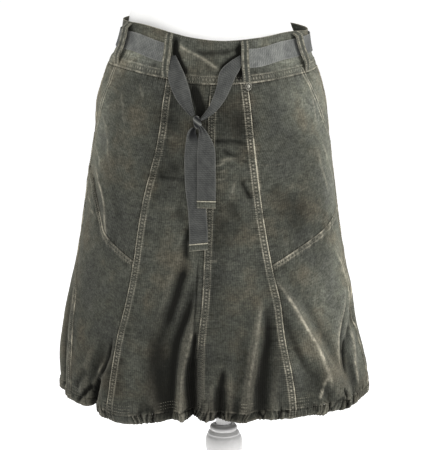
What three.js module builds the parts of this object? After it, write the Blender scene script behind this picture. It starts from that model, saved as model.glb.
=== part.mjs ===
// A gored corduroy balloon skirt with a tied tape belt, standing on a plain limbless dress form.
// Millimetres, +Z up, origin at the middle of the base's underside. The front faces -Y, and left and
// right are as seen from the front, so left is -X. An angle goes round the garment in degrees, 0 at the
// centre front, positive towards +X. A lift is a distance out of the cloth's inner face.
import * as THREE from 'three';

// ---- driving dimensions -------------------------------------------------------------------------
const CLOTH = 1.6; // corduroy wall
const TAPE = 1.5; // twill tape wall
const GAP = 0.4; // between pieces that are sewn or lie together
const TAPE_WIDTH = 27.5;
const CASING_DEPTH = 20; // height of the gathered casing under its top seam
const HIP_ROWS = 7; // mesh rows from the waistband down to the hip seam
const POCKET_ROWS = 3; // those of them beside a pocket facing
const HEM_ROWS = 7; // mesh rows from the hip seam down to the casing

const LEAN = 0.035; // the form leans this much towards -X for each mm of height
const BASE_RADIUS = 165;
const BASE_THICKNESS = 24;
const TORSO_FOOT = 772; // underside of the torso block
const NECK_TOP = 1452;
const SEAT_HEIGHT = 940; // where the torso carries the waistband
const CASING_HEIGHT = 430; // about where the casing's seam is
const SEAT_CLEARANCE = 0.7;

// The garment's level sections: half width, front and back depth, and its centre's place along X.
const SECTIONS = [
  { height: 1030, half: 139, front: 95, back: 93, centre: -26.5 },
  { height: 1000, half: 140.5, front: 96, back: 94.5, centre: -26.5 },
  { height: 973, half: 145.5, front: 100.5, back: 99.5, centre: -28.5 },
  { height: 948, half: 155.5, front: 106.5, back: 107.5, centre: -31 },
  { height: 923, half: 165, front: 112.5, back: 115.5, centre: -31 },
  { height: 890, half: 174, front: 119.5, back: 125, centre: -32 },
  { height: 849, half: 178.5, front: 124.5, back: 132.5, centre: -32 },
  { height: 747, half: 192.5, front: 130.5, back: 143.5, centre: -33 },
  { height: 644, half: 209, front: 135.5, back: 151.5, centre: -34 },
  { height: 592, half: 221, front: 139.5, back: 156.5, centre: -34 },
  { height: 539, half: 231.5, front: 143.5, back: 161.5, centre: -35.5 },
  { height: 486, half: 241, front: 147.5, back: 165.5, centre: -32 },
  { height: 440, half: 245, front: 149.5, back: 167.5, centre: -28.5 },
  { height: 415, half: 244, front: 147, back: 165, centre: -29.5 },
  { height: 390, half: 235, front: 139.5, back: 157.5, centre: -30 },
];

// The waistband's top edge and lower seam, and the hem's lower edge, round the garment.
const ROUND = [
  { angle: -180, top: 1008, seam: 943, hem: 411 },
  { angle: -120, top: 1012, seam: 943, hem: 412 },
  { angle: -62, top: 1011, seam: 944, hem: 411 },
  { angle: -46, top: 1010, seam: 941.5, hem: 404 },
  { angle: -34, top: 1005.5, seam: 938, hem: 393.5 },
  { angle: -22, top: 999.5, seam: 934, hem: 400.5 },
  { angle: -10, top: 994, seam: 929, hem: 409 },
  { angle: 8, top: 990, seam: 927, hem: 410 },
  { angle: 30, top: 993.5, seam: 929.5, hem: 412 },
  { angle: 55, top: 1000, seam: 936, hem: 414 },
  { angle: 90, top: 997, seam: 939.5, hem: 418 },
  { angle: 180, top: 1008, seam: 943, hem: 411 },
];

// The long seams' angles down the garment, one column for each seam.
const SEAMS = [
  { height: 945, centre: 3, princessLeft: -21, princessRight: 21.5, sideLeft: -82, sideRight: 91 },
  { height: 860, centre: 1.8, princessLeft: -22, princessRight: 23.7, sideLeft: -80, sideRight: 91 },
  { height: 745, centre: 1.4, princessLeft: -28.5, princessRight: 26.6, sideLeft: -79, sideRight: 90 },
  { height: 640, centre: 0.6, princessLeft: -31, princessRight: 30.3, sideLeft: -77, sideRight: 84.5 },
  { height: 590, centre: -0.1, princessLeft: -32.2, princessRight: 32.1, sideLeft: -67, sideRight: 81.5 },
  { height: 520, centre: -0.7, princessLeft: -34.7, princessRight: 33.4, sideLeft: -62.3, sideRight: 81.3 },
  { height: 430, centre: 0.6, princessLeft: -39, princessRight: 34, sideLeft: -62.7, sideRight: 84.5 },
];
const BACK_SEAMS = [
  { height: 945, backLeft: -150, backRight: 150 },
  { height: 430, backLeft: -141, backRight: 141 },
];
const CENTRE_BACK = 180;
const BACK_HIP_HEIGHT = 700; // where the back panels' upper rows end

// The slant pockets' openings, from the waistband down to the side seam.
const POCKET_LEFT = [
  { height: 944, angle: -65 },
  { height: 905, angle: -67 },
  { height: 868, angle: -72 },
  { height: 836, angle: -79.3 },
];
const POCKET_RIGHT = [
  { height: 939, angle: 63 },
  { height: 905, angle: 68 },
  { height: 868, angle: 76 },
  { height: 826, angle: 90.3 },
];

// The curved hip seams, from the princess seam out to the side seam.
const HIP_LEFT = [
  { angle: -30.7, height: 656 },
  { angle: -40, height: 673 },
  { angle: -49, height: 692 },
  { angle: -55, height: 719 },
  { angle: -68, height: 762 },
  { angle: -79.5, height: 785 },
];
const HIP_RIGHT = [
  { angle: 29.7, height: 655 },
  { angle: 44, height: 677 },
  { angle: 60, height: 696 },
  { angle: 78, height: 716 },
  { angle: 89.5, height: 729 },
];

// The largest folds, each a run of stations down the cloth: centre, half width in degrees, and depth,
// positive for a ridge and negative for a trough. Depth runs out to nothing at the ends.
const FOLDS = [
  // front
  [
    { height: 545, angle: -38, reach: 6, depth: 0 },
    { height: 486, angle: -44.5, reach: 7, depth: -9 },
    { height: 450, angle: -47.5, reach: 7, depth: -16 },
    { height: 390, angle: -48, reach: 7, depth: -8 },
  ],
  [
    { height: 670, angle: -2, reach: 8, depth: 0 },
    { height: 604, angle: -9, reach: 9, depth: -5 },
    { height: 540, angle: -15.5, reach: 10, depth: -11 },
    { height: 455, angle: -14, reach: 9, depth: -13 },
    { height: 390, angle: -12, reach: 8, depth: -5 },
  ],
  [
    { height: 610, angle: 0, reach: 5, depth: 0 },
    { height: 544, angle: -3.2, reach: 6, depth: -14 },
    { height: 480, angle: -4, reach: 6.5, depth: -22 },
    { height: 430, angle: -2, reach: 6.5, depth: -20 },
    { height: 390, angle: -1, reach: 6, depth: -8 },
  ],
  [
    { height: 505, angle: 8.5, reach: 5, depth: 0 },
    { height: 440, angle: 8.5, reach: 5, depth: -12 },
    { height: 390, angle: 8.5, reach: 5, depth: -6 },
  ],
  [
    { height: 600, angle: 22, reach: 6, depth: 0 },
    { height: 512, angle: 18.5, reach: 7, depth: 8 },
    { height: 450, angle: 16, reach: 7, depth: 9 },
    { height: 390, angle: 15.5, reach: 7, depth: 2 },
  ],
  [
    { height: 595, angle: 25, reach: 5, depth: 0 },
    { height: 526, angle: 25.5, reach: 6.5, depth: -9 },
    { height: 450, angle: 25, reach: 7, depth: -13 },
    { height: 390, angle: 24, reach: 6, depth: -5 },
  ],
  [
    { height: 640, angle: 32, reach: 7, depth: 0 },
    { height: 575, angle: 41, reach: 8, depth: 10 },
    { height: 516, angle: 49, reach: 9, depth: 13 },
    { height: 450, angle: 60, reach: 9, depth: 10 },
    { height: 390, angle: 66, reach: 8, depth: 0 },
  ],
  [
    { height: 600, angle: 34, reach: 5, depth: 0 },
    { height: 535, angle: 37, reach: 6.5, depth: -8 },
    { height: 450, angle: 41, reach: 7, depth: -6 },
    { height: 390, angle: 41, reach: 6, depth: 0 },
  ],
  [
    { height: 590, angle: 84, reach: 8, depth: 0 },
    { height: 540, angle: 71, reach: 8, depth: -9 },
    { height: 480, angle: 72, reach: 8, depth: -6 },
    { height: 420, angle: 74, reach: 8, depth: 0 },
  ],
  // hidden sides and back
  ...[102, 124, 152, 176, -158, -128, -101, -78].map((angle, index) => [
    { height: 640 - 25 * (index % 3), angle: angle, reach: 7, depth: 0 },
    { height: 520, angle: angle + 2, reach: 9, depth: -9 - 2 * (index % 2) },
    { height: 440, angle: angle + 1, reach: 8, depth: -13 - 3 * (index % 2) },
    { height: 390, angle: angle, reach: 7, depth: -5 },
  ]),
];

// The belt's middle line round the waistband.
const BELT = [
  { angle: -180, height: 980 },
  { angle: -120, height: 983 },
  { angle: -72, height: 983 },
  { angle: -50, height: 982 },
  { angle: -24, height: 970 },
  { angle: 27, height: 964 },
  { angle: 48, height: 973 },
  { angle: 93, height: 978 },
  { angle: 180, height: 980 },
];

// The hanging belt: middle line, width, and stand-off of the tape's inner face from the cloth.
const OVER_CLOTH = CLOTH + GAP;
const BELT_LIFT = CLOTH + 0.8;
const OVER_BELT = BELT_LIFT + TAPE + GAP;
const STRAND_LEFT = [
  { angle: -19.2, height: 966, width: 18, lift: OVER_BELT },
  { angle: -15, height: 946, width: 20, lift: OVER_BELT },
  { angle: -11.5, height: 926, width: 23, lift: 6 },
  { angle: -7.2, height: 902, width: 18, lift: 8 },
  { angle: -4.2, height: 885.2, width: 8, lift: 9.5 },
];
const STRAND_RIGHT = [
  { angle: 20.6, height: 970, width: 18, lift: OVER_BELT },
  { angle: 16.2, height: 950, width: 21, lift: OVER_BELT },
  { angle: 11.5, height: 930, width: 23, lift: 6 },
  { angle: 6.5, height: 905, width: 17, lift: 8 },
  { angle: 0.2, height: 885.2, width: 8, lift: 9.5 },
];
const TAIL_LONG = [
  { angle: -2.2, height: 861, width: 10, lift: 4.2 },
  { angle: -3.2, height: 845, width: 22, lift: 3.2 },
  { angle: -3.4, height: 800, width: 27.5, lift: 2.2 },
  { angle: -2, height: 745, width: 27.5, lift: 2.2 },
  { angle: -1, height: 712, width: 27.5, lift: 2.2 },
  { angle: -1, height: 692, width: 27.5, lift: 2.2 },
];
const TAIL_SHORT = [
  { angle: -1.6, height: 860, width: 8, lift: 8.8 },
  { angle: -0.8, height: 850, width: 17, lift: 8.6 },
  { angle: 1.6, height: 836, width: 26, lift: 6.5 },
  { angle: 2.3, height: 800, width: 27.5, lift: 4.6 },
  { angle: 2.4, height: 775, width: 27.5, lift: 4.6 },
  { angle: 2.4, height: 757, width: 27.5, lift: 4.6 },
];
const TIP_LENGTH = 11;
const TIP_WALL = 2.4;
const KNOT = { angle: -2.2, height: 873, width: 19, depth: 14, tall: 22.4 };
const STUD = { angle: 22.2, height: 923.5, width: 9.4, tall: 12.4, thick: 3.2 };

// Belt loops: angles of the top and the bottom, width, and stand-off over the belt.
const LOOPS = [
  { name: 'loop_front_left', top: -22, bottom: -22.5, width: 15, stand: 6.6 },
  { name: 'loop_front_right', top: 24.8, bottom: 22.4, width: 17, stand: 6.6 },
  { name: 'loop_side_left', top: -62, bottom: -62, width: 15, stand: 9 },
  { name: 'loop_side_right', top: 60.5, bottom: 67, width: 15, stand: 9 },
  { name: 'loop_back_left', top: -150, bottom: -150, width: 15, stand: 5 },
  { name: 'loop_back_right', top: 150, bottom: 150, width: 15, stand: 5 },
];

// The dress form's level sections, with how square they are (2 is an ellipse). The seat between them is
// worked out from the skirt, and the others are centred on the leaning axis.
const TORSO_BELOW_SEAT = [
  { height: TORSO_FOOT, half: 128, front: 82, back: 92, round: 2 },
  { height: 781, half: 148, front: 97, back: 106, round: 2 },
  { height: 802, half: 160, front: 104, back: 116, round: 2 },
  { height: 850, half: 163, front: 107, back: 118, round: 2 },
  { height: 900, half: 161, front: 107, back: 114, round: 2 },
];
const TORSO_ABOVE_SEAT = [
  { height: 975, half: 135, front: 91, back: 89, round: 2 },
  { height: 1010, half: 123, front: 84, back: 80, round: 2 },
  { height: 1040, half: 120, front: 82, back: 78, round: 2 },
  { height: 1080, half: 124, front: 86, back: 82, round: 2 },
  { height: 1150, half: 138, front: 100, back: 92, round: 2.1 },
  { height: 1215, half: 148, front: 114, back: 96, round: 2.2 },
  { height: 1260, half: 151, front: 110, back: 97, round: 2.3 },
  { height: 1315, half: 153, front: 93, back: 95, round: 2.3 },
  { height: 1350, half: 149, front: 79, back: 88, round: 2.3 },
  { height: 1375, half: 136, front: 69, back: 80, round: 2.2 },
  { height: 1395, half: 110, front: 60, back: 70, round: 2 },
  { height: 1410, half: 78, front: 52, back: 58, round: 2 },
  { height: 1426, half: 58, front: 48, back: 52, round: 2 },
  { height: NECK_TOP, half: 54, front: 48, back: 50, round: 2 },
];
const TORSO_SIDES = 32;

// Turned profiles, radius and height, from the top down.
const POLE_PROFILE = [
  { radius: 14, height: TORSO_FOOT - 0.3 },
  { radius: 12, height: 740 },
  { radius: 12, height: 372 },
  { radius: 14, height: 360 },
  { radius: 20.5, height: 357 },
  { radius: 22.3, height: 353.5 },
  { radius: 21, height: 350.3 },
  { radius: 22.5, height: 349 },
  { radius: 25.4, height: 345.5 },
  { radius: 25.8, height: 343.4 },
  { radius: 28.6, height: 338 },
  { radius: 30.2, height: 328 },
  { radius: 28.8, height: 315 },
  { radius: 24, height: 300 },
  { radius: 16.5, height: 286 },
  { radius: 13.5, height: 276 },
  { radius: 17, height: 270 },
  { radius: 17, height: 265 },
  { radius: 13, height: 259 },
  { radius: 14.5, height: 220 },
  { radius: 18.5, height: 130 },
  { radius: 20, height: 80 },
  { radius: 25, height: 70 },
  { radius: 25, height: 62 },
  { radius: 21, height: 56 },
  { radius: 26, height: BASE_THICKNESS + 20.3 },
];
const BASE_PROFILE = [
  { radius: 42, height: BASE_THICKNESS + 20 },
  { radius: 52, height: BASE_THICKNESS + 14 },
  { radius: 60, height: BASE_THICKNESS + 5 },
  { radius: 148, height: BASE_THICKNESS },
  { radius: 160, height: 17 },
  { radius: BASE_RADIUS, height: 9 },
  { radius: BASE_RADIUS, height: 0 },
];
const CAP_PROFILE = [
  { radius: 5, height: 46 },
  { radius: 12, height: 42 },
  { radius: 15, height: 35 },
  { radius: 12, height: 28 },
  { radius: 6, height: 23 },
  { radius: 10, height: 17 },
  { radius: 38, height: 12 },
  { radius: 47, height: 7 },
  { radius: 48, height: 0 },
];

// ---- reading the tables -------------------------------------------------------------------------
const radians = THREE.MathUtils.degToRad;
const mix = THREE.MathUtils.lerp;

// The value of a column at a place in a table, on a smooth curve through the rows.
function read(table, key, place, column) {
  const rows = table[0][key] < table[table.length - 1][key] ? table : [...table].reverse();
  const last = rows.length - 1;
  const at = THREE.MathUtils.clamp(place, rows[0][key], rows[last][key]);
  let i = 0;
  while (i < last - 1 && at > rows[i + 1][key]) i += 1;
  const rise = (a, b) => (rows[b][column] - rows[a][column]) / (rows[b][key] - rows[a][key]);
  const slope = (k) => rise(Math.max(k - 1, 0), Math.min(k + 1, last));
  const span = rows[i + 1][key] - rows[i][key];
  const t = (at - rows[i][key]) / span;
  const [t2, t3] = [t * t, t * t * t];
  return (
    (2 * t3 - 3 * t2 + 1) * rows[i][column] +
    (t3 - 2 * t2 + t) * span * slope(i) +
    (3 * t2 - 2 * t3) * rows[i + 1][column] +
    (t3 - t2) * span * slope(i + 1)
  );
}

const around = (angle) => ((((angle + 180) % 360) + 360) % 360) - 180;
const topEdge = (angle) => read(ROUND, 'angle', around(angle), 'top');
const waistSeam = (angle) => read(ROUND, 'angle', around(angle), 'seam');
const hemEdge = (angle) => read(ROUND, 'angle', around(angle), 'hem');
const casingSeam = (angle) => hemEdge(angle) + CASING_DEPTH;
const beltHeight = (angle) => read(BELT, 'angle', around(angle), 'height');

// ---- the garment's surface ----------------------------------------------------------------------
function foldDepth(angle, height) {
  let total = 0;
  for (const fold of FOLDS) {
    if (height > fold[0].height || height < fold[fold.length - 1].height) continue;
    const away = Math.abs(around(angle - read(fold, 'height', height, 'angle')));
    const reach = read(fold, 'height', height, 'reach');
    const rounded = away < reach ? (1 + Math.cos((Math.PI * away) / reach)) / 2 : 0;
    total += rounded * read(fold, 'height', height, 'depth');
  }
  return total;
}

function sectionPoint(angle, height) {
  const turn = radians(angle);
  const depth = read(SECTIONS, 'height', height, Math.cos(turn) > 0 ? 'front' : 'back');
  return new THREE.Vector3(
    read(SECTIONS, 'height', height, 'centre') + read(SECTIONS, 'height', height, 'half') * Math.sin(turn),
    -depth * Math.cos(turn),
    height,
  );
}

function outward(angle, height) {
  const along = sectionPoint(angle + 0.5, height).sub(sectionPoint(angle - 0.5, height));
  const up = sectionPoint(angle, height + 2).sub(sectionPoint(angle, height - 2));
  return along.cross(up).normalize();
}

function onGarment(angle, height, lift) {
  return sectionPoint(angle, height).addScaledVector(outward(angle, height), foldDepth(angle, height) + lift);
}

// Degrees round the garment that a length in mm takes up.
function degrees(length, angle, height) {
  return length / sectionPoint(angle + 0.5, height).distanceTo(sectionPoint(angle - 0.5, height));
}

// ---- meshes -------------------------------------------------------------------------------------
function geometryOf(points, triangles) {
  const geometry = new THREE.BufferGeometry();
  geometry.setAttribute('position', new THREE.Float32BufferAttribute(points.flatMap((p) => p.toArray()), 3));
  geometry.setIndex(triangles);
  geometry.computeVertexNormals();
  return geometry;
}

// A closed wall between two grids of points. Rows go down and columns towards +X on the front.
function wall(outer, inner) {
  const rows = outer.length;
  const columns = outer[0].length;
  const skin = rows * columns;
  const triangles = [];
  const quad = (a, b, c, d) => triangles.push(a, b, c, a, c, d);
  const at = (i, j) => i * columns + j;
  for (let i = 0; i + 1 < rows; i += 1) {
    for (let j = 0; j + 1 < columns; j += 1) {
      quad(at(i, j), at(i + 1, j), at(i + 1, j + 1), at(i, j + 1));
      quad(skin + at(i, j), skin + at(i, j + 1), skin + at(i + 1, j + 1), skin + at(i + 1, j));
    }
    quad(at(i, 0), skin + at(i, 0), skin + at(i + 1, 0), at(i + 1, 0));
    const j = columns - 1;
    quad(at(i, j), at(i + 1, j), skin + at(i + 1, j), skin + at(i, j));
  }
  for (let j = 0; j + 1 < columns; j += 1) {
    quad(at(0, j), at(0, j + 1), skin + at(0, j + 1), skin + at(0, j));
    const i = rows - 1;
    quad(at(i, j), skin + at(i, j), skin + at(i, j + 1), at(i, j + 1));
  }
  return geometryOf([...outer.flat(), ...inner.flat()], triangles);
}

// A wall that follows the garment's surface at a lift.
function layer(grid, lift, thickness) {
  const skin = (out) => grid.map((row) => row.map((p) => onGarment(p.angle, p.height, out)));
  return wall(skin(lift + thickness), skin(lift));
}

const clothWall = (grid) => layer(grid, 0, CLOTH);

// A flat length of tape: stations along its middle line, each with a width and a lift.
function tapeWall(stations, thickness) {
  const middle = stations.map((s) => onGarment(s.angle, s.height, s.lift));
  const rows = stations.map((s, i) => {
    const ahead = middle[Math.min(i + 1, middle.length - 1)];
    const behind = middle[Math.max(i - 1, 0)];
    const out = outward(s.angle, s.height);
    const across = ahead.clone().sub(behind).cross(out).normalize();
    return [-1, 1].map((side) => middle[i].clone().addScaledVector(across, (-side * s.width) / 2));
  });
  const raised = rows.map((row, i) =>
    row.map((p) => p.clone().addScaledVector(outward(stations[i].angle, stations[i].height), thickness)),
  );
  return wall(raised, rows);
}

// A closed stack of rings with the same number of points, listed from the top down.
function stack(rings) {
  const count = rings[0].length;
  const points = rings.flat();
  const triangles = [];
  for (let i = 0; i + 1 < rings.length; i += 1) {
    for (let j = 0; j < count; j += 1) {
      const [a, b] = [i * count + j, i * count + ((j + 1) % count)];
      triangles.push(a, a + count, b + count, a, b + count, b);
    }
  }
  const centre = (ring) => ring.reduce((sum, p) => sum.add(p), new THREE.Vector3()).divideScalar(count);
  const top = points.push(centre(rings[0])) - 1;
  const foot = points.push(centre(rings[rings.length - 1])) - 1;
  const lowest = (rings.length - 1) * count;
  for (let j = 0; j < count; j += 1) {
    const next = (j + 1) % count;
    triangles.push(top, j, next, foot, lowest + next, lowest + j);
  }
  return geometryOf(points, triangles);
}

function turned(profile, sides, place) {
  return stack(
    profile.map(({ radius, height }) =>
      Array.from({ length: sides }, (_, k) => {
        const turn = (2 * Math.PI * k) / sides;
        return place(radius * Math.cos(turn), radius * Math.sin(turn), height);
      }),
    ),
  );
}

// ---- seams and panels ---------------------------------------------------------------------------
const seamAngle = (name) => (height) =>
  read(name.startsWith('back') ? BACK_SEAMS : SEAMS, 'height', height, name);

// Points down a seam, one for each mesh row: even steps to the hip row, then even steps to the casing.
function seamPoints(angleAt, hipHeight) {
  const start = waistSeam(angleAt(SEAT_HEIGHT));
  const end = casingSeam(angleAt(CASING_HEIGHT));
  const heights = [];
  for (let i = 0; i <= HIP_ROWS; i += 1) heights.push(mix(start, hipHeight, i / HIP_ROWS));
  for (let i = 1; i <= HEM_ROWS; i += 1) heights.push(mix(hipHeight, end, i / HEM_ROWS));
  return heights.map((height) => ({ angle: angleAt(height), height }));
}

// A side seam's rows also meet the pocket's lower end at the row where the facing stops.
function sidePoints(angleAt, pocketHeight, hipHeight) {
  const points = seamPoints(angleAt, hipHeight);
  for (let i = 1; i < HIP_ROWS; i += 1) {
    const height =
      i <= POCKET_ROWS
        ? mix(points[0].height, pocketHeight, i / POCKET_ROWS)
        : mix(pocketHeight, hipHeight, (i - POCKET_ROWS) / (HIP_ROWS - POCKET_ROWS));
    points[i] = { angle: angleAt(height), height };
  }
  return points;
}

// A pocket opening's points, on the rows of the side seam that it runs into.
function openingPoints(pocket) {
  return Array.from({ length: POCKET_ROWS + 1 }, (_, i) => {
    const height = mix(pocket[0].height, pocket[POCKET_ROWS].height, i / POCKET_ROWS);
    const angle = read(pocket, 'height', height, 'angle');
    return i === 0 ? { angle, height: waistSeam(angle) } : { angle, height };
  });
}

function alongSeam(table, columns) {
  const [first, last] = [table[0].angle, table[table.length - 1].angle];
  return Array.from({ length: columns + 1 }, (_, j) => {
    const angle = mix(first, last, j / columns);
    const height = read(table, 'angle', angle, 'height');
    return { angle, height };
  });
}

// A panel's grid: its left and right edges are given, and its top and bottom follow a height or a seam.
function panelGrid(left, right, columns, top, bottom) {
  const rows = left.length - 1;
  const edge = (curve, from, to) =>
    Array.isArray(curve)
      ? curve
      : Array.from({ length: columns + 1 }, (_, j) => {
          const angle = mix(from.angle, to.angle, j / columns);
          return { angle, height: curve(angle) };
        });
  const upper = edge(top, left[0], right[0]);
  const lower = edge(bottom, left[rows], right[rows]);
  const grid = left.map((start, i) => {
    const end = right[i];
    const t = i / rows;
    return upper.map((above, j) => {
      const s = j / columns;
      const blend = (key) =>
        mix(start[key], end[key], s) +
        (1 - t) * (above[key] - mix(left[0][key], right[0][key], s)) +
        t * (lower[j][key] - mix(left[rows][key], right[rows][key], s));
      return { angle: blend('angle'), height: blend('height') };
    });
  });
  return trimmed(grid);
}

// The grid with half a seam gap taken off each edge.
function trimmed(grid) {
  const last = { row: grid.length - 1, column: grid[0].length - 1 };
  return grid.map((row, i) =>
    row.map(({ angle, height }, j) => {
      const inward = (j === 0) - (j === last.column);
      const down = (i === 0) - (i === last.row);
      return {
        angle: angle + inward * degrees(GAP / 2, angle, height),
        height: height - (down * GAP) / 2,
      };
    }),
  );
}

// ---- the pieces ---------------------------------------------------------------------------------
const OLIVE = { color: 0x52524b, roughness: 0.92, metalness: 0 };
const GREY_TAPE = { color: 0x74777a, roughness: 0.88, metalness: 0 };
const STEEL = { color: 0x77766f, roughness: 0.42, metalness: 0.9 };
const WHITE_FORM = { color: 0xe8e7e4, roughness: 0.6, metalness: 0 };
const PAINTED_WOOD = { color: 0xd2d1cf, roughness: 0.42, metalness: 0 };

function piece(name, geometry, look) {
  const mesh = new THREE.Mesh(geometry, new THREE.MeshStandardMaterial(look));
  mesh.name = name;
  return mesh;
}

function skirtPanels() {
  const last = HIP_ROWS;
  const hipLeft = HIP_LEFT[HIP_LEFT.length - 1].height;
  const hipRight = HIP_RIGHT[HIP_RIGHT.length - 1].height;
  const pocketLeft = POCKET_LEFT[POCKET_LEFT.length - 1].height;
  const pocketRight = POCKET_RIGHT[POCKET_RIGHT.length - 1].height;
  const centre = seamPoints(seamAngle('centre'), HIP_LEFT[0].height);
  const princessLeft = seamPoints(seamAngle('princessLeft'), HIP_LEFT[0].height);
  const princessRight = seamPoints(seamAngle('princessRight'), HIP_RIGHT[0].height);
  const sideLeft = sidePoints(seamAngle('sideLeft'), pocketLeft, hipLeft);
  const sideRight = sidePoints(seamAngle('sideRight'), pocketRight, hipRight);
  const backLeft = seamPoints(seamAngle('backLeft'), BACK_HIP_HEIGHT);
  const backRight = seamPoints(seamAngle('backRight'), BACK_HIP_HEIGHT);
  const back = seamPoints(() => CENTRE_BACK, BACK_HIP_HEIGHT);
  const turnedBack = (points) => points.map((p) => ({ angle: p.angle + 360, height: p.height }));
  const openLeft = openingPoints(POCKET_LEFT);
  const openRight = openingPoints(POCKET_RIGHT);
  const outerLeft = [...openLeft, ...sideLeft.slice(POCKET_ROWS + 1, last + 1)];
  const outerRight = [...openRight, ...sideRight.slice(POCKET_ROWS + 1, last + 1)];
  const hipSeamLeft = alongSeam(HIP_LEFT, 9).reverse();
  const hipSeamRight = alongSeam(HIP_RIGHT, 9);
  const acrossPocket = (points) => points.slice(0, POCKET_ROWS + 1);
  const level = (points, row) => () => points[row].height;

  const grids = {
    front_gore_left: panelGrid(princessLeft, centre, 10, waistSeam, casingSeam),
    front_gore_right: panelGrid(centre, princessRight, 10, waistSeam, casingSeam),
    hip_panel_left: panelGrid(outerLeft, princessLeft.slice(0, last + 1), 9, waistSeam, hipSeamLeft),
    hip_panel_right: panelGrid(princessRight.slice(0, last + 1), outerRight, 9, waistSeam, hipSeamRight),
    side_gore_left: panelGrid(sideLeft.slice(last), princessLeft.slice(last), 9, hipSeamLeft, casingSeam),
    side_gore_right: panelGrid(princessRight.slice(last), sideRight.slice(last), 9, hipSeamRight, casingSeam),
    back_side_right: panelGrid(sideRight, backRight, 11, waistSeam, casingSeam),
    back_gore_right: panelGrid(backRight, back, 7, waistSeam, casingSeam),
    back_gore_left: panelGrid(back, turnedBack(backLeft), 7, waistSeam, casingSeam),
    back_side_left: panelGrid(turnedBack(backLeft), turnedBack(sideLeft), 11, waistSeam, casingSeam),
    pocket_facing_left: panelGrid(
      acrossPocket(sideLeft),
      openLeft,
      3,
      waistSeam,
      level(sideLeft, POCKET_ROWS),
    ),
    pocket_facing_right: panelGrid(
      openRight,
      acrossPocket(sideRight),
      3,
      waistSeam,
      level(sideRight, POCKET_ROWS),
    ),
  };
  return Object.entries(grids).map(([name, grid]) => piece(name, clothWall(grid), OLIVE));
}

// A half ring between two heights, with its ends at the side seams.
function band(from, to, columns, rows, upper, lower) {
  const grid = Array.from({ length: rows + 1 }, (_, i) =>
    Array.from({ length: columns + 1 }, (_, j) => {
      const angle = mix(from, to, j / columns);
      return { angle, height: mix(upper(angle), lower(angle), i / rows) };
    }),
  );
  return clothWall(trimmed(grid));
}

function bands() {
  const [left, right] = [seamAngle('sideLeft'), seamAngle('sideRight')];
  const waist = [left(SEAT_HEIGHT), right(SEAT_HEIGHT)];
  const casing = [left(CASING_HEIGHT), right(CASING_HEIGHT)];
  return [
    piece('waistband_front', band(waist[0], waist[1], 34, 4, topEdge, waistSeam), OLIVE),
    piece('waistband_back', band(waist[1], waist[0] + 360, 34, 4, topEdge, waistSeam), OLIVE),
    piece('hem_casing_front', band(casing[0], casing[1], 38, 1, casingSeam, hemEdge), OLIVE),
    piece('hem_casing_back', band(casing[1], casing[0] + 360, 38, 1, casingSeam, hemEdge), OLIVE),
  ];
}

// A stretch of the belt between two angles, on the waistband.
function beltStretch(from, to, steps) {
  const grid = [0.5, 0, -0.5].map((part) =>
    Array.from({ length: steps + 1 }, (_, i) => {
      const angle = mix(from, to, i / steps);
      return { angle, height: beltHeight(angle) + part * TAPE_WIDTH };
    }),
  );
  return layer(grid, BELT_LIFT, TAPE);
}

// The bound end of a tail, folded over the tape's end.
function tip(tail) {
  const end = tail[tail.length - 1];
  const lift = end.lift - (TIP_WALL - TAPE) / 2;
  const width = TAPE_WIDTH + 1;
  return [GAP, GAP + TIP_LENGTH].map((drop) => ({ ...end, height: end.height - drop, lift, width }));
}

function belt() {
  const half = degrees(GAP / 2, -72, SEAT_HEIGHT);
  return [
    piece('belt_left', beltStretch(-72 + half, -22.8, 10), GREY_TAPE),
    piece('belt_right', beltStretch(22.8, 72 - half, 10), GREY_TAPE),
    piece('belt_back', beltStretch(72 + half, 288 - half, 34), GREY_TAPE),
    piece('strand_left', tapeWall(STRAND_LEFT, TAPE), GREY_TAPE),
    piece('strand_right', tapeWall(STRAND_RIGHT, TAPE), GREY_TAPE),
    piece('tail_long', tapeWall(TAIL_LONG, TAPE), GREY_TAPE),
    piece('tail_short', tapeWall(TAIL_SHORT, TAPE), GREY_TAPE),
    piece('tip_long', tapeWall(tip(TAIL_LONG), TIP_WALL), OLIVE),
    piece('tip_short', tapeWall(tip(TAIL_SHORT), TIP_WALL), OLIVE),
  ];
}

function knot() {
  const profile = [0.5, 0.25, 0, -0.25, -0.5].map((part) => ({
    radius: mix(1, 0.62, (2 * part) ** 2),
    height: part * KNOT.tall,
  }));
  const centre = onGarment(KNOT.angle, KNOT.height, OVER_CLOTH + KNOT.depth / 2 + GAP);
  const place = (x, y, z) => new THREE.Vector3((x * KNOT.width) / 2, (y * KNOT.depth) / 2, z).add(centre);
  return piece('knot', turned(profile, 14, place), GREY_TAPE);
}

function stud() {
  const profile = [
    { radius: 0.45, height: STUD.thick },
    { radius: 0.5, height: 0.6 * STUD.thick },
    { radius: 0.8, height: 0.6 * STUD.thick },
    { radius: 0.92, height: 0.95 * STUD.thick },
    { radius: 1, height: 0.7 * STUD.thick },
    { radius: 1, height: 0 },
  ];
  const foot = onGarment(STUD.angle, STUD.height, OVER_CLOTH);
  const out = outward(STUD.angle, STUD.height);
  const across = new THREE.Vector3(0, 0, 1).cross(out).normalize();
  const up = out.clone().cross(across);
  const place = (x, y, z) =>
    foot
      .clone()
      .addScaledVector(across, (x * STUD.width) / 2)
      .addScaledVector(up, (y * STUD.tall) / 2)
      .addScaledVector(out, z);
  return piece('hip_stud', turned(profile, 20, place), STEEL);
}

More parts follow.
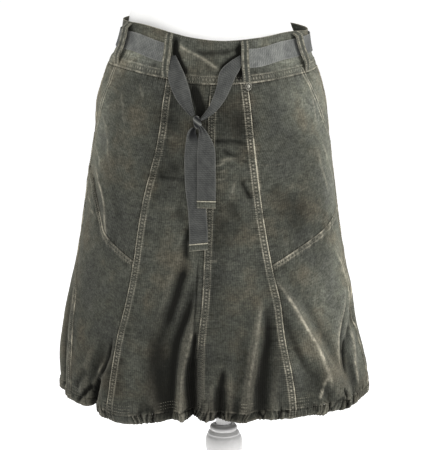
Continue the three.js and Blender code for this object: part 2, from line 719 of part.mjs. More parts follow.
// A loop lies on the waistband at both ends and stands off over the belt between them.
function loops() {
  return LOOPS.map(({ name, top, bottom, width, stand }) => {
    const upper = topEdge(top) - 2;
    const lower = waistSeam(bottom) + 2;
    const middle = beltHeight(mix(top, bottom, 0.5));
    const reach = TAPE_WIDTH / 2 + 1;
    const stations = [
      { height: upper, lift: OVER_CLOTH },
      { height: mix(upper, middle + reach, 0.5), lift: stand - 1 },
      { height: middle + reach, lift: stand },
      { height: middle - reach, lift: stand },
      { height: mix(lower, middle - reach, 0.5), lift: stand - 1 },
      { height: lower, lift: OVER_CLOTH },
    ].map((s) => ({ ...s, width, angle: mix(bottom, top, (s.height - lower) / (upper - lower)) }));
    return piece(name, tapeWall(stations, CLOTH), OLIVE);
  });
}

function torso() {
  const seat = {
    height: SEAT_HEIGHT,
    half: read(SECTIONS, 'height', SEAT_HEIGHT, 'half') - SEAT_CLEARANCE,
    front: read(SECTIONS, 'height', SEAT_HEIGHT, 'front') - SEAT_CLEARANCE,
    back: read(SECTIONS, 'height', SEAT_HEIGHT, 'back') - SEAT_CLEARANCE,
    centre: read(SECTIONS, 'height', SEAT_HEIGHT, 'centre'),
    round: 2,
  };
  const sections = [...TORSO_BELOW_SEAT, seat, ...TORSO_ABOVE_SEAT].reverse();
  const rings = sections.map(({ height, half, front, back, round, centre = -LEAN * height }) =>
    Array.from({ length: TORSO_SIDES }, (_, k) => {
      const turn = (2 * Math.PI * k) / TORSO_SIDES;
      const power = (value) => Math.sign(value) * Math.abs(value) ** (2 / round);
      const depth = Math.cos(turn) > 0 ? front : back;
      return new THREE.Vector3(centre + half * power(Math.sin(turn)), -depth * power(Math.cos(turn)), height);
    }),
  );
  return stack(rings);
}

// Everything turned on the form leans with it; its lowest ring stays level on the base.
function form() {
  const group = new THREE.Group();
  const leaning = (x, y, z) => new THREE.Vector3(x - LEAN * z, y, z);
  const upright = (x, y, z) => new THREE.Vector3(x, y, z);
  const cap = piece('form_neck_cap', turned(CAP_PROFILE, 24, upright), PAINTED_WOOD);
  cap.position.set(-LEAN * NECK_TOP, 0, NECK_TOP + 0.3);
  group.add(
    piece('form_torso', torso(), WHITE_FORM),
    cap,
    piece('form_pole', turned(POLE_PROFILE, 20, leaning), PAINTED_WOOD),
    piece('form_base', turned(BASE_PROFILE, 40, upright), PAINTED_WOOD),
  );
  return group;
}

const skirt = new THREE.Group();
skirt.add(...skirtPanels(), ...bands(), ...belt(), knot(), stud(), ...loops());

const model = new THREE.Group();
model.add(form(), skirt);

export default model;
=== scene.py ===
# A gored corduroy balloon skirt, gathered at the hem and tied with a tape belt, on a plain limbless dress
# form. Sizes are millimetres in the frame's axes until a mesh is made: +Z is up, the front faces -Y, and an
# angle goes round the garment in degrees, 0 at the centre front, positive towards +X.
import math

import bpy
import numpy as np
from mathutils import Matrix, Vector


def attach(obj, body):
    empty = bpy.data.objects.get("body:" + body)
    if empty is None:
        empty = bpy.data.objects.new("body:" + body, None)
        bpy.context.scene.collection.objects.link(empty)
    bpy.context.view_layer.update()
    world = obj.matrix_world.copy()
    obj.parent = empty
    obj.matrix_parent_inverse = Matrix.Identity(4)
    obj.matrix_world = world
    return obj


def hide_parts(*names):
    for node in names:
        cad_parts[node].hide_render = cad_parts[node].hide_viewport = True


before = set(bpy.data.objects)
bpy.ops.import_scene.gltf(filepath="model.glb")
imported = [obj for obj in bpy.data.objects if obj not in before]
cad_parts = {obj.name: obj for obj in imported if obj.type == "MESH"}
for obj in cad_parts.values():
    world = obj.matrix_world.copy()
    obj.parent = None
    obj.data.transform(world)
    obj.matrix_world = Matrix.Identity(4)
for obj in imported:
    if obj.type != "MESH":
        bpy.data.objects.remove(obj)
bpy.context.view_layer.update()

# ---- driving dimensions ---------------------------------------------------------------------------------
MM = 0.001
CLOTH = 1.6  # corduroy wall
TAPE = 1.5  # twill tape wall
GAP = 0.4  # between pieces that lie together
SEWN = 0.1  # between two cut edges that are sewn together
TAPE_WIDTH = 27.5
CASING_DEPTH = 20
SEAT_HEIGHT = 940
CASING_HEIGHT = 430
SEAT_CLEARANCE = 0.7
LEAN = 0.035  # the form leans this much towards -X for each mm of height
TORSO_FOOT = 772
NECK_TOP = 1452
BASE_RADIUS = 165
BASE_THICKNESS = 24

FINE = 1.5  # between rows of the mesh on the front's cloth
PLAIN = 2.8  # and on the back's
HIP_SHARE = 7  # the waist-to-hip rows come in this many equal steps
POCKET_SHARE = 3  # those of them beside a pocket

ALLOWANCE_WIDTH = 11.5  # seam allowance pressed to one side and topstitched twice
ALLOWANCE_STEP = 1.1  # how far it stands up at the join
PUCKER = 5.4  # between the puckers that topstitching pulls into a seam
TICK = 3.4  # between the small tucks beside a row of stitches
FIRST_ROW = 2.4  # from a join to its first row of stitches
STITCH = 3.4  # one stitch and the space after it
STITCH_LENGTH = 2.6
THREAD = 0.34  # radius of a topstitching thread as it lies on the pile
THREAD_SIDES = 5
WAIST_WIDTH = 12.5  # of the stitched allowance above the waist seam
HIP_WIDTH = 7.5  # and below the curved hip seams
POCKET_ROWS = (2.2, 7)  # from a pocket's edge to its rows of stitches
CASING_ROWS = (5, 10, 15)  # from the casing's seam up to the rows of stitches over it
EDGE_ROW = 3  # from the waistband's top edge to its row
ROUND_WAIST = 3.0  # millimetres round the garment for each degree, about, at the waist
ROUND_HEM = 4.2  # and at the hem
SMALL = 9  # the cloth's ups and downs count as small within this distance


# ---- tables ---------------------------------------------------------------------------------------------
def table(names, *rows):
    """Columns by name, with the rows in order of the first column."""
    names = names.split()
    columns = np.array(sorted(rows), float).T
    return {"key": columns[0], **dict(zip(names, columns))}


SECTIONS = table(
    "height half front back centre",
    (1030, 139, 95, 93, -26.5),
    (1000, 140.5, 96, 94.5, -26.5),
    (973, 145.5, 100.5, 99.5, -28.5),
    (948, 155.5, 106.5, 107.5, -31),
    (923, 165, 112.5, 115.5, -31),
    (890, 174, 119.5, 125, -32),
    (849, 178.5, 124.5, 132.5, -32),
    (747, 192.5, 130.5, 143.5, -33),
    (644, 209, 135.5, 151.5, -34),
    (592, 221, 139.5, 156.5, -34),
    (539, 231.5, 143.5, 161.5, -35.5),
    (486, 241, 147.5, 165.5, -32),
    (440, 245, 149.5, 167.5, -28.5),
    (415, 244, 147, 165, -29.5),
    (390, 235, 139.5, 157.5, -30),
)
# The waistband's top edge and lower seam, and the hem's lower edge, round the garment.
ROUND = table(
    "angle top seam hem",
    (-180, 1008, 943, 411),
    (-120, 1012, 943, 412),
    (-62, 1011, 944, 411),
    (-46, 1010, 941.5, 404),
    (-34, 1005.5, 938, 393.5),
    (-22, 999.5, 934, 400.5),
    (-10, 994, 929, 409),
    (8, 990, 927, 410),
    (30, 993.5, 929.5, 412),
    (55, 1000, 936, 414),
    (90, 997, 939.5, 418),
    (180, 1008, 943, 411),
)
SEAMS = table(
    "height centre princess_left princess_right side_left side_right",
    (945, 3, -21, 21.5, -82, 91),
    (860, 1.8, -22, 23.7, -80, 91),
    (745, 1.4, -28.5, 26.6, -79, 90),
    (640, 0.6, -31, 30.3, -77, 84.5),
    (590, -0.1, -32.2, 32.1, -67, 81.5),
    (520, -1.4, -34.7, 33.4, -62.3, 81.3),
    (430, -3.2, -39, 34, -62.7, 84.5),
)
BACK_SEAMS = table("height back_left back_right back", (945, -150, 150, 180), (430, -141, 141, 180))
BACK_HIP_HEIGHT = 700
POCKET_LEFT = table("height angle", (944, -65), (905, -67), (868, -72), (836, -79.3))
POCKET_RIGHT = table("height angle", (939, 63), (905, 68), (868, 76), (826, 90.3))
HIP_LEFT = table(
    "angle height", (-30.7, 656), (-40, 673), (-49, 692), (-55, 719), (-68, 762), (-79.5, 785)
)
HIP_RIGHT = table("angle height", (29.7, 655), (44, 677), (60, 696), (78, 716), (89.5, 729))

# The largest folds, each a run of stations down the cloth: centre, half width in degrees, and depth,
# positive for a ridge and negative for a trough.
FOLD_COLUMNS = "height angle reach depth"
FRONT_FOLDS = [
    table(FOLD_COLUMNS, (545, -38, 6, 0), (486, -44.5, 7, -9), (450, -47.5, 7, -14), (390, -50, 7, -8)),
    table(
        FOLD_COLUMNS,
        (670, -2, 8, 0),
        (604, -6, 7, -3),
        (540, -10.5, 7, -6),
        (455, -13.2, 6, -7),
        (390, -12.5, 6, -4),
    ),
    table(
        FOLD_COLUMNS,
        (575, -2, 3.5, 0),
        (540, -2.4, 4, -6),
        (480, -4.2, 4.6, -15),
        (430, -4.6, 4.6, -17),
        (390, -4.4, 5, -9),
    ),
    table(FOLD_COLUMNS, (505, 7, 4.5, 0), (440, 5.4, 5, -7), (390, 5, 6, -6)),
    table(FOLD_COLUMNS, (610, 24, 5, 0), (512, 19, 5, 5), (450, 15.2, 5, 6), (390, 14, 6, 2)),
    table(FOLD_COLUMNS, (605, 26.5, 5, 0), (526, 25, 6, -5), (450, 20.5, 6, -6), (390, 20, 6, -4)),
    table(
        FOLD_COLUMNS,
        (650, 31, 7, 0),
        (575, 39, 8, 8),
        (516, 46.5, 9, 11),
        (450, 56.5, 9, 9),
        (390, 62, 8, 0),
    ),
    table(FOLD_COLUMNS, (600, 31, 5, 0), (535, 36, 6.5, -1.5), (450, 42, 7, -1.5), (390, 42, 6, 0)),
    table(
        FOLD_COLUMNS,
        (590, 84, 8, 0),
        (550, 79, 8, -5),
        (510, 66, 8, -6),
        (470, 67, 8, -5),
        (420, 72, 8, 0),
    ),
]
BACK_FOLDS = [
    table(
        FOLD_COLUMNS,
        (640 - 25 * (index % 3), angle, 7, 0),
        (520, angle + 2, 9, -9 - 2 * (index % 2)),
        (440, angle + 1, 8, -13 - 3 * (index % 2)),
        (390, angle, 7, -5),
    )
    for index, angle in enumerate([102, 124, 152, 176, -158, -128, -101, -78])
]

# The belt's middle line round the waistband.
BELT = table(
    "angle height",
    (-180, 980), (-120, 983), (-72, 983), (-50, 982), (-24, 970), (27, 964), (48, 973), (93, 978),
    (180, 980),
)
# The hanging belt: middle line, width, and stand-off of the tape's inner face from the cloth.
OVER_CLOTH = CLOTH + GAP
BELT_LIFT = CLOTH + 0.8
OVER_BELT = BELT_LIFT + TAPE + GAP
TAPE_COLUMNS = "step angle height width lift"
STRAND_LEFT = table(
    TAPE_COLUMNS,
    (0, -20, 966, 10, OVER_BELT),
    (1, -17.2, 950, 20, OVER_BELT),
    (2, -14.8, 934, 26, OVER_BELT + 0.6),
    (3, -11, 912, 24, 6.5),
    (4, -7.6, 895, 15, 8.2),
    (5, -4.9, 882, 7, 9.2),
)
STRAND_RIGHT = table(
    TAPE_COLUMNS,
    (0, 19.9, 966, 8, OVER_BELT),
    (1, 15.6, 953, 19, OVER_BELT),
    (2, 11.6, 940, 24, OVER_BELT + 0.6),
    (3, 9.6, 925, 21, 6),
    (4, 7.4, 909, 18, 7),
    (5, 4.4, 893, 13, 8.4),
    (6, 1, 882, 8, 9.2),
    (7, -1.2, 876, 4, 9.4),
)
TAIL_LONG = table(
    TAPE_COLUMNS,
    (0, -4.4, 864, 6, 4.4),
    (1, -5.4, 856, 13, 4.2),
    (2, -5.3, 844, 19, 3.6),
    (3, -4.9, 830, 25, 3),
    (4, -4.6, 812, 27.5, 2.4),
    (5, -3.9, 776, 27.5, 2.2),
    (6, -2.6, 745, 27.5, 2.2),
    (7, -1.8, 712, 27.5, 2.2),
    (8, -1.6, 692, 27.5, 2.2),
)
TAIL_SHORT = table(
    TAPE_COLUMNS,
    (0, -1.5, 867, 5, 8.8),
    (1, -0.4, 858, 12, 8.4),
    (2, 0.3, 849, 18, 7.2),
    (3, 1, 838, 24, 6),
    (4, 1.3, 826, 27, 5.2),
    (5, 1.5, 790, 27.5, 4.8),
    (6, 1.6, 757, 27.5, 4.8),
)
TIP_LENGTH = 11
TIP_WALL = 2.4
KNOT = {"angle": -3, "height": 872.5, "width": 13, "depth": 12, "tall": 19}
STUD = {"angle": 22.2, "height": 923.5, "width": 9.4, "tall": 12.4, "thick": 3.2}
# Belt loops: angles of the top and the bottom, width, and stand-off over the belt.
LOOPS = {
    "loop_front_left": (-24.8, -21.6, 12, 6.6),
    "loop_front_right": (21.4, 21.9, 11.5, 6.6),
    "loop_side_left": (-62, -62, 15, 9),
    "loop_side_right": (60.5, 67, 15, 9),
    "loop_back_left": (-150, -150, 15, 5),
    "loop_back_right": (150, 150, 15, 5),
}
TORSO = table(
    "height half front back round",
    (TORSO_FOOT, 128, 82, 92, 2),
    (781, 148, 97, 106, 2),
    (802, 160, 104, 116, 2),
    (850, 163, 107, 118, 2),
    (900, 161, 107, 114, 2),
    (975, 135, 91, 89, 2),
    (1010, 123, 84, 80, 2),
    (1040, 120, 82, 78, 2),
    (1080, 124, 86, 82, 2),
    (1150, 138, 100, 92, 2.1),
    (1215, 148, 114, 96, 2.2),
    (1260, 151, 110, 97, 2.3),
    (1315, 153, 93, 95, 2.3),
    (1350, 149, 79, 88, 2.3),
    (1375, 136, 69, 80, 2.2),
    (1395, 110, 60, 70, 2),
    (1410, 78, 52, 58, 2),
    (1426, 58, 48, 52, 2),
    (NECK_TOP, 54, 48, 50, 2),
)
# Turned profiles, radius and height, from the top down.
POLE_PROFILE = [
    (14, TORSO_FOOT - 0.3), (12, 740), (12, 372), (14, 360), (20.5, 357), (22.3, 353.5),
    (21, 350.3), (22.5, 349), (25.4, 345.5), (25.8, 343.4), (28.6, 338), (30.2, 328), (28.8, 315),
    (24, 300), (16.5, 286), (13.5, 276), (17, 270), (17, 265), (13, 259), (14.5, 220), (18.5, 130),
    (20, 80), (25, 70), (25, 62), (21, 56), (26, BASE_THICKNESS + 20.3),
]
BASE_PROFILE = [
    (42, BASE_THICKNESS + 20), (52, BASE_THICKNESS + 14), (60, BASE_THICKNESS + 5),
    (148, BASE_THICKNESS), (160, 17), (BASE_RADIUS, 9), (BASE_RADIUS, 0),
]
CAP_PROFILE = [(5, 46), (12, 42), (15, 35), (12, 28), (6, 23), (10, 17), (38, 12), (47, 7), (48, 0)]

# A piece is called after its node and, by its slot, its finish.
FINISH = {
    "corduroy": "cloth",
    "twill_tape": "tape",
    "stud_metal": "rivet",
    "form_cover": "cover",
    "painted_wood": "turning",
}


def read(rows, place, column):
    """The value of a column at places in a table, on a smooth curve through the rows."""
    keys, values = rows["key"], rows[column]
    last = len(keys) - 1
    at = np.clip(place, keys[0], keys[last])
    i = np.clip(np.searchsorted(keys, at) - 1, 0, last - 1)
    every = np.arange(last + 1)
    before, after = np.maximum(every - 1, 0), np.minimum(every + 1, last)
    slope = (values[after] - values[before]) / (keys[after] - keys[before])
    span = keys[i + 1] - keys[i]
    t = (at - keys[i]) / span
    return (
        (2 * t**3 - 3 * t**2 + 1) * values[i]
        + (t**3 - 2 * t**2 + t) * span * slope[i]
        + (3 * t**2 - 2 * t**3) * values[i + 1]
        + (t**3 - t**2) * span * slope[i + 1]
    )


def around(angle):
    return (np.asarray(angle, float) + 180) % 360 - 180


def top_edge(angle):
    return read(ROUND, around(angle), "top")


def waist_seam(angle):
    return read(ROUND, around(angle), "seam")


def hem_edge(angle):
    return read(ROUND, around(angle), "hem")


def casing_seam(angle):
    return hem_edge(angle) + CASING_DEPTH


def belt_height(angle):
    return read(BELT, around(angle), "height")


def mix(a, b, t):
    return a + (b - a) * t


def rise(value, start, end):
    """0 below start, 1 above end, and smooth between."""
    t = np.clip((value - start) / (end - start), 0, 1)
    return t * t * (3 - 2 * t)


def hump(value, width):
    """1 at 0, fading smoothly to nothing at a width on both sides."""
    return 1 - rise(np.abs(value), 0, width)


# ---- the garment's surface ------------------------------------------------------------------------------
def section_point(angle, height):
    turn, height = np.broadcast_arrays(np.radians(angle), np.asarray(height, float))
    front, back = read(SECTIONS, height, "front"), read(SECTIONS, height, "back")
    depth = np.where(np.cos(turn) > 0, front, back)
    across = read(SECTIONS, height, "centre") + read(SECTIONS, height, "half") * np.sin(turn)
    return np.stack([across, -depth * np.cos(turn), height], -1)


def outward(angle, height):
    along = section_point(angle + 0.5, height) - section_point(angle - 0.5, height)
    up = section_point(angle, height + 2) - section_point(angle, height - 2)
    out = np.cross(along, up)
    return out / np.linalg.norm(out, axis=-1, keepdims=True)


def per_degree(angle, height):
    """Millimetres round the garment for each degree."""
    return np.linalg.norm(section_point(angle + 0.5, height) - section_point(angle - 0.5, height), axis=-1)


def fold_depth(angle, height):
    total = np.zeros(np.broadcast(angle, height).shape)
    for fold in FRONT_FOLDS + BACK_FOLDS:
        away = np.abs(around(angle - read(fold, height, "angle")))
        reach = read(fold, height, "reach")
        inside = (away < reach) & (height <= fold["height"][-1]) & (height >= fold["height"][0])
        rounded = (1 + np.cos(np.pi * away / reach)) / 2
        total += np.where(inside, rounded * read(fold, height, "depth"), 0)
    return total


def on_garment(angle, height, lift):
    """Points on the cloth's smooth surface with its large folds, at a lift out of its inner face."""
    out = outward(angle, height)
    return section_point(angle, height) + out * (fold_depth(angle, height) + lift)[..., None]


# ---- the cloth's own relief -----------------------------------------------------------------------------
LATTICE = np.random.default_rng(7).uniform(-1, 1, (128, 128))


def wander(x, y, shift=0):
    """A smooth random value between -1 and 1 that changes over a distance of 1."""
    x, y = np.broadcast_arrays(np.asarray(x, float) + 17.3 * shift, np.asarray(y, float) + 9.1 * shift)
    i, j = np.floor(x).astype(int), np.floor(y).astype(int)
    s, t = rise(x - i, 0, 1), rise(y - j, 0, 1)
    corner = [[LATTICE[(i + a) % 128, (j + b) % 128] for b in (0, 1)] for a in (0, 1)]
    return mix(mix(corner[0][0], corner[0][1], t), mix(corner[1][0], corner[1][1], t), s)


class Relief:
    """How far the cloth stands out at each place, how much it is painted paler for abraded pile and for
    painted highlight on ridges and puckers, how much painted shade lies in its creases, seams and folds, and
    how far it is painted paler or darker for fading and for painted light and shade."""

    def __init__(self, angle, height):
        self.angle, self.height = angle, height
        self.scale = per_degree(angle, height)
        self.lift = np.zeros(angle.shape)
        self.wear = np.zeros(angle.shape)
        self.hollow = np.zeros(angle.shape)
        self.fade = np.zeros(angle.shape)

    def add(self, where, lift=0.0, wear=0.0, hollow=0.0):
        self.lift[where] += lift
        self.wear[where] += wear
        self.hollow[where] += hollow


def puckers(run, spacing):
    """0 to 1: a row of puckers, not quite evenly spaced."""
    return 0.5 + 0.5 * np.cos(2 * np.pi * (run / spacing + 0.3 * wander(run / 2.5 / spacing, spacing)))


def second_row(width):
    """How far the outer row of stitches lies from the join."""
    return width - 3.4 if width > 9 else width - 1.8


def topstitched(relief, away, run, where, width=ALLOWANCE_WIDTH, pucker=0.7, pale=1.0, lane=0):
    """A seam with its allowance pressed to one side: away is the distance from the join, over it."""
    d, r = away[where], run[where]
    patchiness = 0.75 + 0.5 * wander(r / 15, lane) + 0.35 * wander(r / 4.5, lane + 5)
    step = ALLOWANCE_STEP * rise(d, -0.1, 0.7) * (1 - rise(d, width - 0.8, width + 2.0))
    rope = puckers(r + lane, PUCKER)
    second = second_row(width)
    ridge = hump(d - width / 2, width * 0.27)
    far = hump(d - (width - 1.5), 1.3)
    rows = hump(d - FIRST_ROW, 1.2) + hump(d - second, 1.1)
    outside = np.where(d > width / 2, np.maximum(d - width, 0), np.maximum(-d, 0))
    small = (puckers(r + lane + np.sign(d), TICK) - 0.5) * np.exp(-outside / 4.5)
    long = np.clip(wander(r / 3.1, lane + 2 * np.sign(d)), 0, 1) * np.exp(-outside / 11) * (outside > 0)
    ticks = small * (1 - ridge) * (0.7 + 0.5 * wander(r / 9, lane + 3))
    # the join, the pucker crests, the far edge and the small tucks are painted paler, for abrasion and for
    # painted highlight; a painted shadow line runs just outside the join, and painted shade lies along the
    # stitch rows, between the puckers, in the tucks and beside the long wrinkles
    relief.add(
        where,
        lift=step + pucker * ridge * (rope - 0.45) - 0.4 * rows + 0.3 * far + 0.8 * ticks - 0.6 * long,
        wear=pale * patchiness * (1.3 * hump(d - 0.6, 1.3) + 0.6 * ridge * rope + 0.5 * far)
        + 0.5 * pale * np.clip(ticks, 0, 1),
        hollow=0.7 * hump(d + 1.1, 1.3)
        + 0.45 * hump(d - FIRST_ROW, 1.3)
        + 0.5 * hump(d - second, 1.1)
        + 0.45 * ridge * (1 - rope)
        + 0.8 * np.clip(-ticks, 0, 1)
        + 0.3 * long,
    )


def seam_angle(name):
    rows = BACK_SEAMS if name.startswith("back") else SEAMS
    return lambda height: read(rows, height, name)


# Each long seam with the side its allowance is pressed to, and how pale its join and puckers are painted, for
# abrasion and for painted highlight.
LONG_SEAMS = {
    "centre": (1, 0.6),
    "princess_left": (1, 0.75),
    "princess_right": (-1, 1.1),
    "side_left": (-1, 0.6),
    "side_right": (1, 0.6),
    "back_left": (1, 0.7),
    "back_right": (-1, 0.7),
    "back": (1, 0.8),
}


def long_seams(relief):
    below = relief.height < waist_seam(relief.angle) + 1
    for lane, (name, (side, pale)) in enumerate(LONG_SEAMS.items()):
        away = side * around(relief.angle - seam_angle(name)(relief.height)) * relief.scale
        near = below & (np.abs(away) < ALLOWANCE_WIDTH + 30)
        if name == "centre":  # in the fold below, the seam never rubs and lies in shade, so it is painted far less pale
            pale = pale * (0.15 + 0.85 * rise(relief.height[near], 500, 560))
        topstitched(relief, away, relief.height, near, pale=pale, lane=lane)


def cross_seams(relief):
    angle, height = relief.angle, relief.height
    run = around(angle) * ROUND_WAIST
    above = height - waist_seam(angle)
    topstitched(relief, above, run, np.abs(above) < 24, width=WAIST_WIDTH, pale=0.8, lane=9)
    under = top_edge(angle) - height
    edge = under < 6
    relief.add(edge, lift=-0.4 * hump(under[edge] - EDGE_ROW, 1), wear=0.45 * hump(under[edge], 1.6))
    for rows, pale in ((HIP_LEFT, 0.7), (HIP_RIGHT, 0.9)):
        low, high = rows["angle"][0], rows["angle"][-1]
        slope = (read(rows, angle + 1, "height") - read(rows, angle - 1, "height")) / 2 / relief.scale
        under = (read(rows, angle, "height") - height) / np.sqrt(1 + slope**2)
        near = (around(angle) > low) & (around(angle) < high) & (np.abs(under) < 18)
        topstitched(relief, under, run, near, width=HIP_WIDTH, pale=pale, lane=11)


def pocket_edges(relief):
    """Each slanting opening's turned edge, stitched twice, stands over the facing behind it."""
    turned = around(relief.angle)
    for opening, side in ((POCKET_LEFT, 1), (POCKET_RIGHT, -1)):
        low, high = opening["height"][0], opening["height"][-1]
        away = side * (turned - read(opening, relief.height, "angle")) * relief.scale
        near = (relief.height > low) & (relief.height < high + 4) & (np.abs(away) < 22)
        d, r = away[near], relief.height[near]
        patchiness = 0.8 + 0.5 * wander(r / 9, side)
        lines = hump(d - 0.9, 1.4) + 0.7 * hump(d - 7, 1.3)
        turned_edge = rise(d, -0.2, 0.5) * (1 - rise(d, 7, 10))
        opened = (1 - rise(d, -3, 0)) * rise(d, -22, -9)
        # the edge lines are painted paler, for abrasion and for painted highlight; painted shade lies in the
        # opening under the turned edge and between the two rows
        relief.add(
            near,
            lift=0.9 * turned_edge - 1.2 * opened,
            wear=1.2 * lines * patchiness,
            hollow=0.9 * hump(np.minimum(d, 0) + 0.6, 4.5) * (d < 0) + 0.35 * hump(d - 3.6, 1.8),
        )


# How tightly the casing is gathered, from 0 where it lies flat between the folds.
GATHERS = table(
    "angle amount",
    (-75, 0.8), (-62, 0.3), (-56, 0.5), (-50, 1.2), (-44, 1.1), (-38, 0.15), (-30, 0.15),
    (-26, 0.9), (-19, 1.0), (-16, 0.25), (-11, 0.3), (-6, 1.1), (8, 1.0), (14, 0.35), (21, 1.0),
    (27, 0.9), (34, 0.3), (42, 0.5), (50, 1.0), (60, 1.1), (75, 0.6),
)


def gathering(angle):
    place = np.clip(around(angle), -75, 75)
    return np.where(np.abs(around(angle)) > 75, 0.7, read(GATHERS, place, "amount"))


def gather_wave(angle):
    """About -1 to 1 round the garment: rounded, uneven gathers with sharper creases between them."""
    run = around(angle) * ROUND_HEM
    phase = run / 10.5 + 1.9 * wander(run / 17, 1) + 0.5 * wander(run / 6, 2)
    wave = 2 * np.abs(np.cos(np.pi * phase)) - 1
    return (wave + 0.6 * wander(run / 6, 3)) * (0.75 + 0.5 * wander(run / 19, 4)) * gathering(angle)


def hem_gathers(relief):
    above = relief.height - casing_seam(relief.angle)
    near = above < 60
    up, angle = above[near], relief.angle[near]
    run, tight = around(angle) * ROUND_HEM, gathering(angle)
    lean = 5 * wander(run / 26, 12) * up / 20 + 2.5 * wander(up / 9, run / 15, 7)
    wave = gather_wave(angle + lean / ROUND_HEM)
    tucks = wander((run + lean) / 8, up / 26, 6)
    grooves = np.exp(-((tucks / 0.14) ** 2)) * tight * np.exp(-np.maximum(up + 3, 0) / (7 + 9 * tight))
    size = np.where(up > 0, 1.8 * np.exp(-np.maximum(up, 0) / 9), 2.4)
    rows = sum(hump(up - place, 1.2) for place in CASING_ROWS) * (1 - rise(tight, 0.4, 0.9))
    uneven = (0.6 + 0.7 * wander(around(angle), 5)) * (1 - 0.6 * rise(tight, 0.4, 1.0))
    # the casing's seam, its rows and the gathers' crests are painted paler, for abrasion and for painted
    # highlight; painted shade lies in the gathers' troughs and grooves, along the seam and low in the casing
    relief.add(
        near,
        lift=size * wave
        - 2.2 * grooves
        - 0.3 * rows
        + 0.8 * hump(up, 2.0) * (1 - 0.6 * rise(tight, 0.4, 1.0))
        - 6 * rise(-up, CASING_DEPTH - 9, CASING_DEPTH) ** 2,
        wear=(0.5 * hump(up - 0.8, 1.4) + 0.25 * rows) * uneven + 0.2 * np.clip(wave, 0, 1) * size / 3,
        hollow=0.6 * np.clip(-wave - 0.2, 0, 1) * size / 3
        + 0.45 * hump(up + 1.8, 1.6)
        + 0.95 * grooves
        + 0.5 * rise(-up, CASING_DEPTH - 6, CASING_DEPTH),
    )


def slack(relief):
    """The cloth's faint unevenness everywhere, drawn out across the front and down the lower gores."""
    across, up = around(relief.angle) * 3.2, relief.height
    low = 1 - rise(up, 560, 700)
    broad = wander(across / 42, up / 60, 1)
    creased = wander(across / 26 + up / 90, up / 10, 2) * (1 - low) + wander(across / 11, up / 55, 3) * low
    small = wander(across / 9, up / 4.5, 4)
    relief.lift += 0.9 * broad + 0.45 * creased + 0.16 * small


# Where the cloth is painted paler or darker, partly for fading and partly as painted light and shade, such as
# the paler sides and waistband and the darker lower front: angle, height, how far that reaches across and up,
# and how much.
FADING_AND_PAINTED_LIGHT = [
    (60, 968, 150, 42, 2.5),
    (-60, 968, 160, 42, 2.9),
    (-30, 968, 60, 34, 0.7),
    (62, 905, 90, 80, 1.3),
    (80, 850, 75, 170, 1.4),
    (-74, 850, 75, 170, 1.5),
    (86, 760, 60, 100, 1.4),
    (84, 640, 80, 130, 1.7),
    (80, 500, 60, 80, 1.0),
    (56, 565, 100, 120, 1.3),
    (38, 500, 34, 50, 0.9),
    (0, 470, 420, 190, -0.4),
    (-10, 540, 70, 130, -0.3),
    (-17, 470, 34, 100, -0.9),
    (-26, 490, 34, 80, 0.35),
    (-42, 480, 60, 60, -0.5),
    (20, 480, 34, 80, -0.7),
    (10, 430, 70, 40, -0.8),
    (4, 425, 22, 30, -1),
    (10, 875, 70, 70, -0.7),
    (19, 860, 26, 70, -0.5),
    (-19, 878, 45, 60, -0.6),
    (8, 720, 60, 60, -0.6),
    (6, 640, 30, 120, -0.4),
    (40, 725, 60, 60, -0.3),
    (48, 740, 30, 30, -0.4),
    (-16, 800, 70, 90, -0.5),
]


# adds each patch of the table above, painting the cloth paler or darker for fading and for painted light and
# shade
def fading(relief):
    turned = around(relief.angle)
    for angle, height, across, up, amount in FADING_AND_PAINTED_LIGHT:
        off = np.hypot((turned - angle) * relief.scale / across, (relief.height - height) / up)
        relief.fade += amount * hump(off, 1)
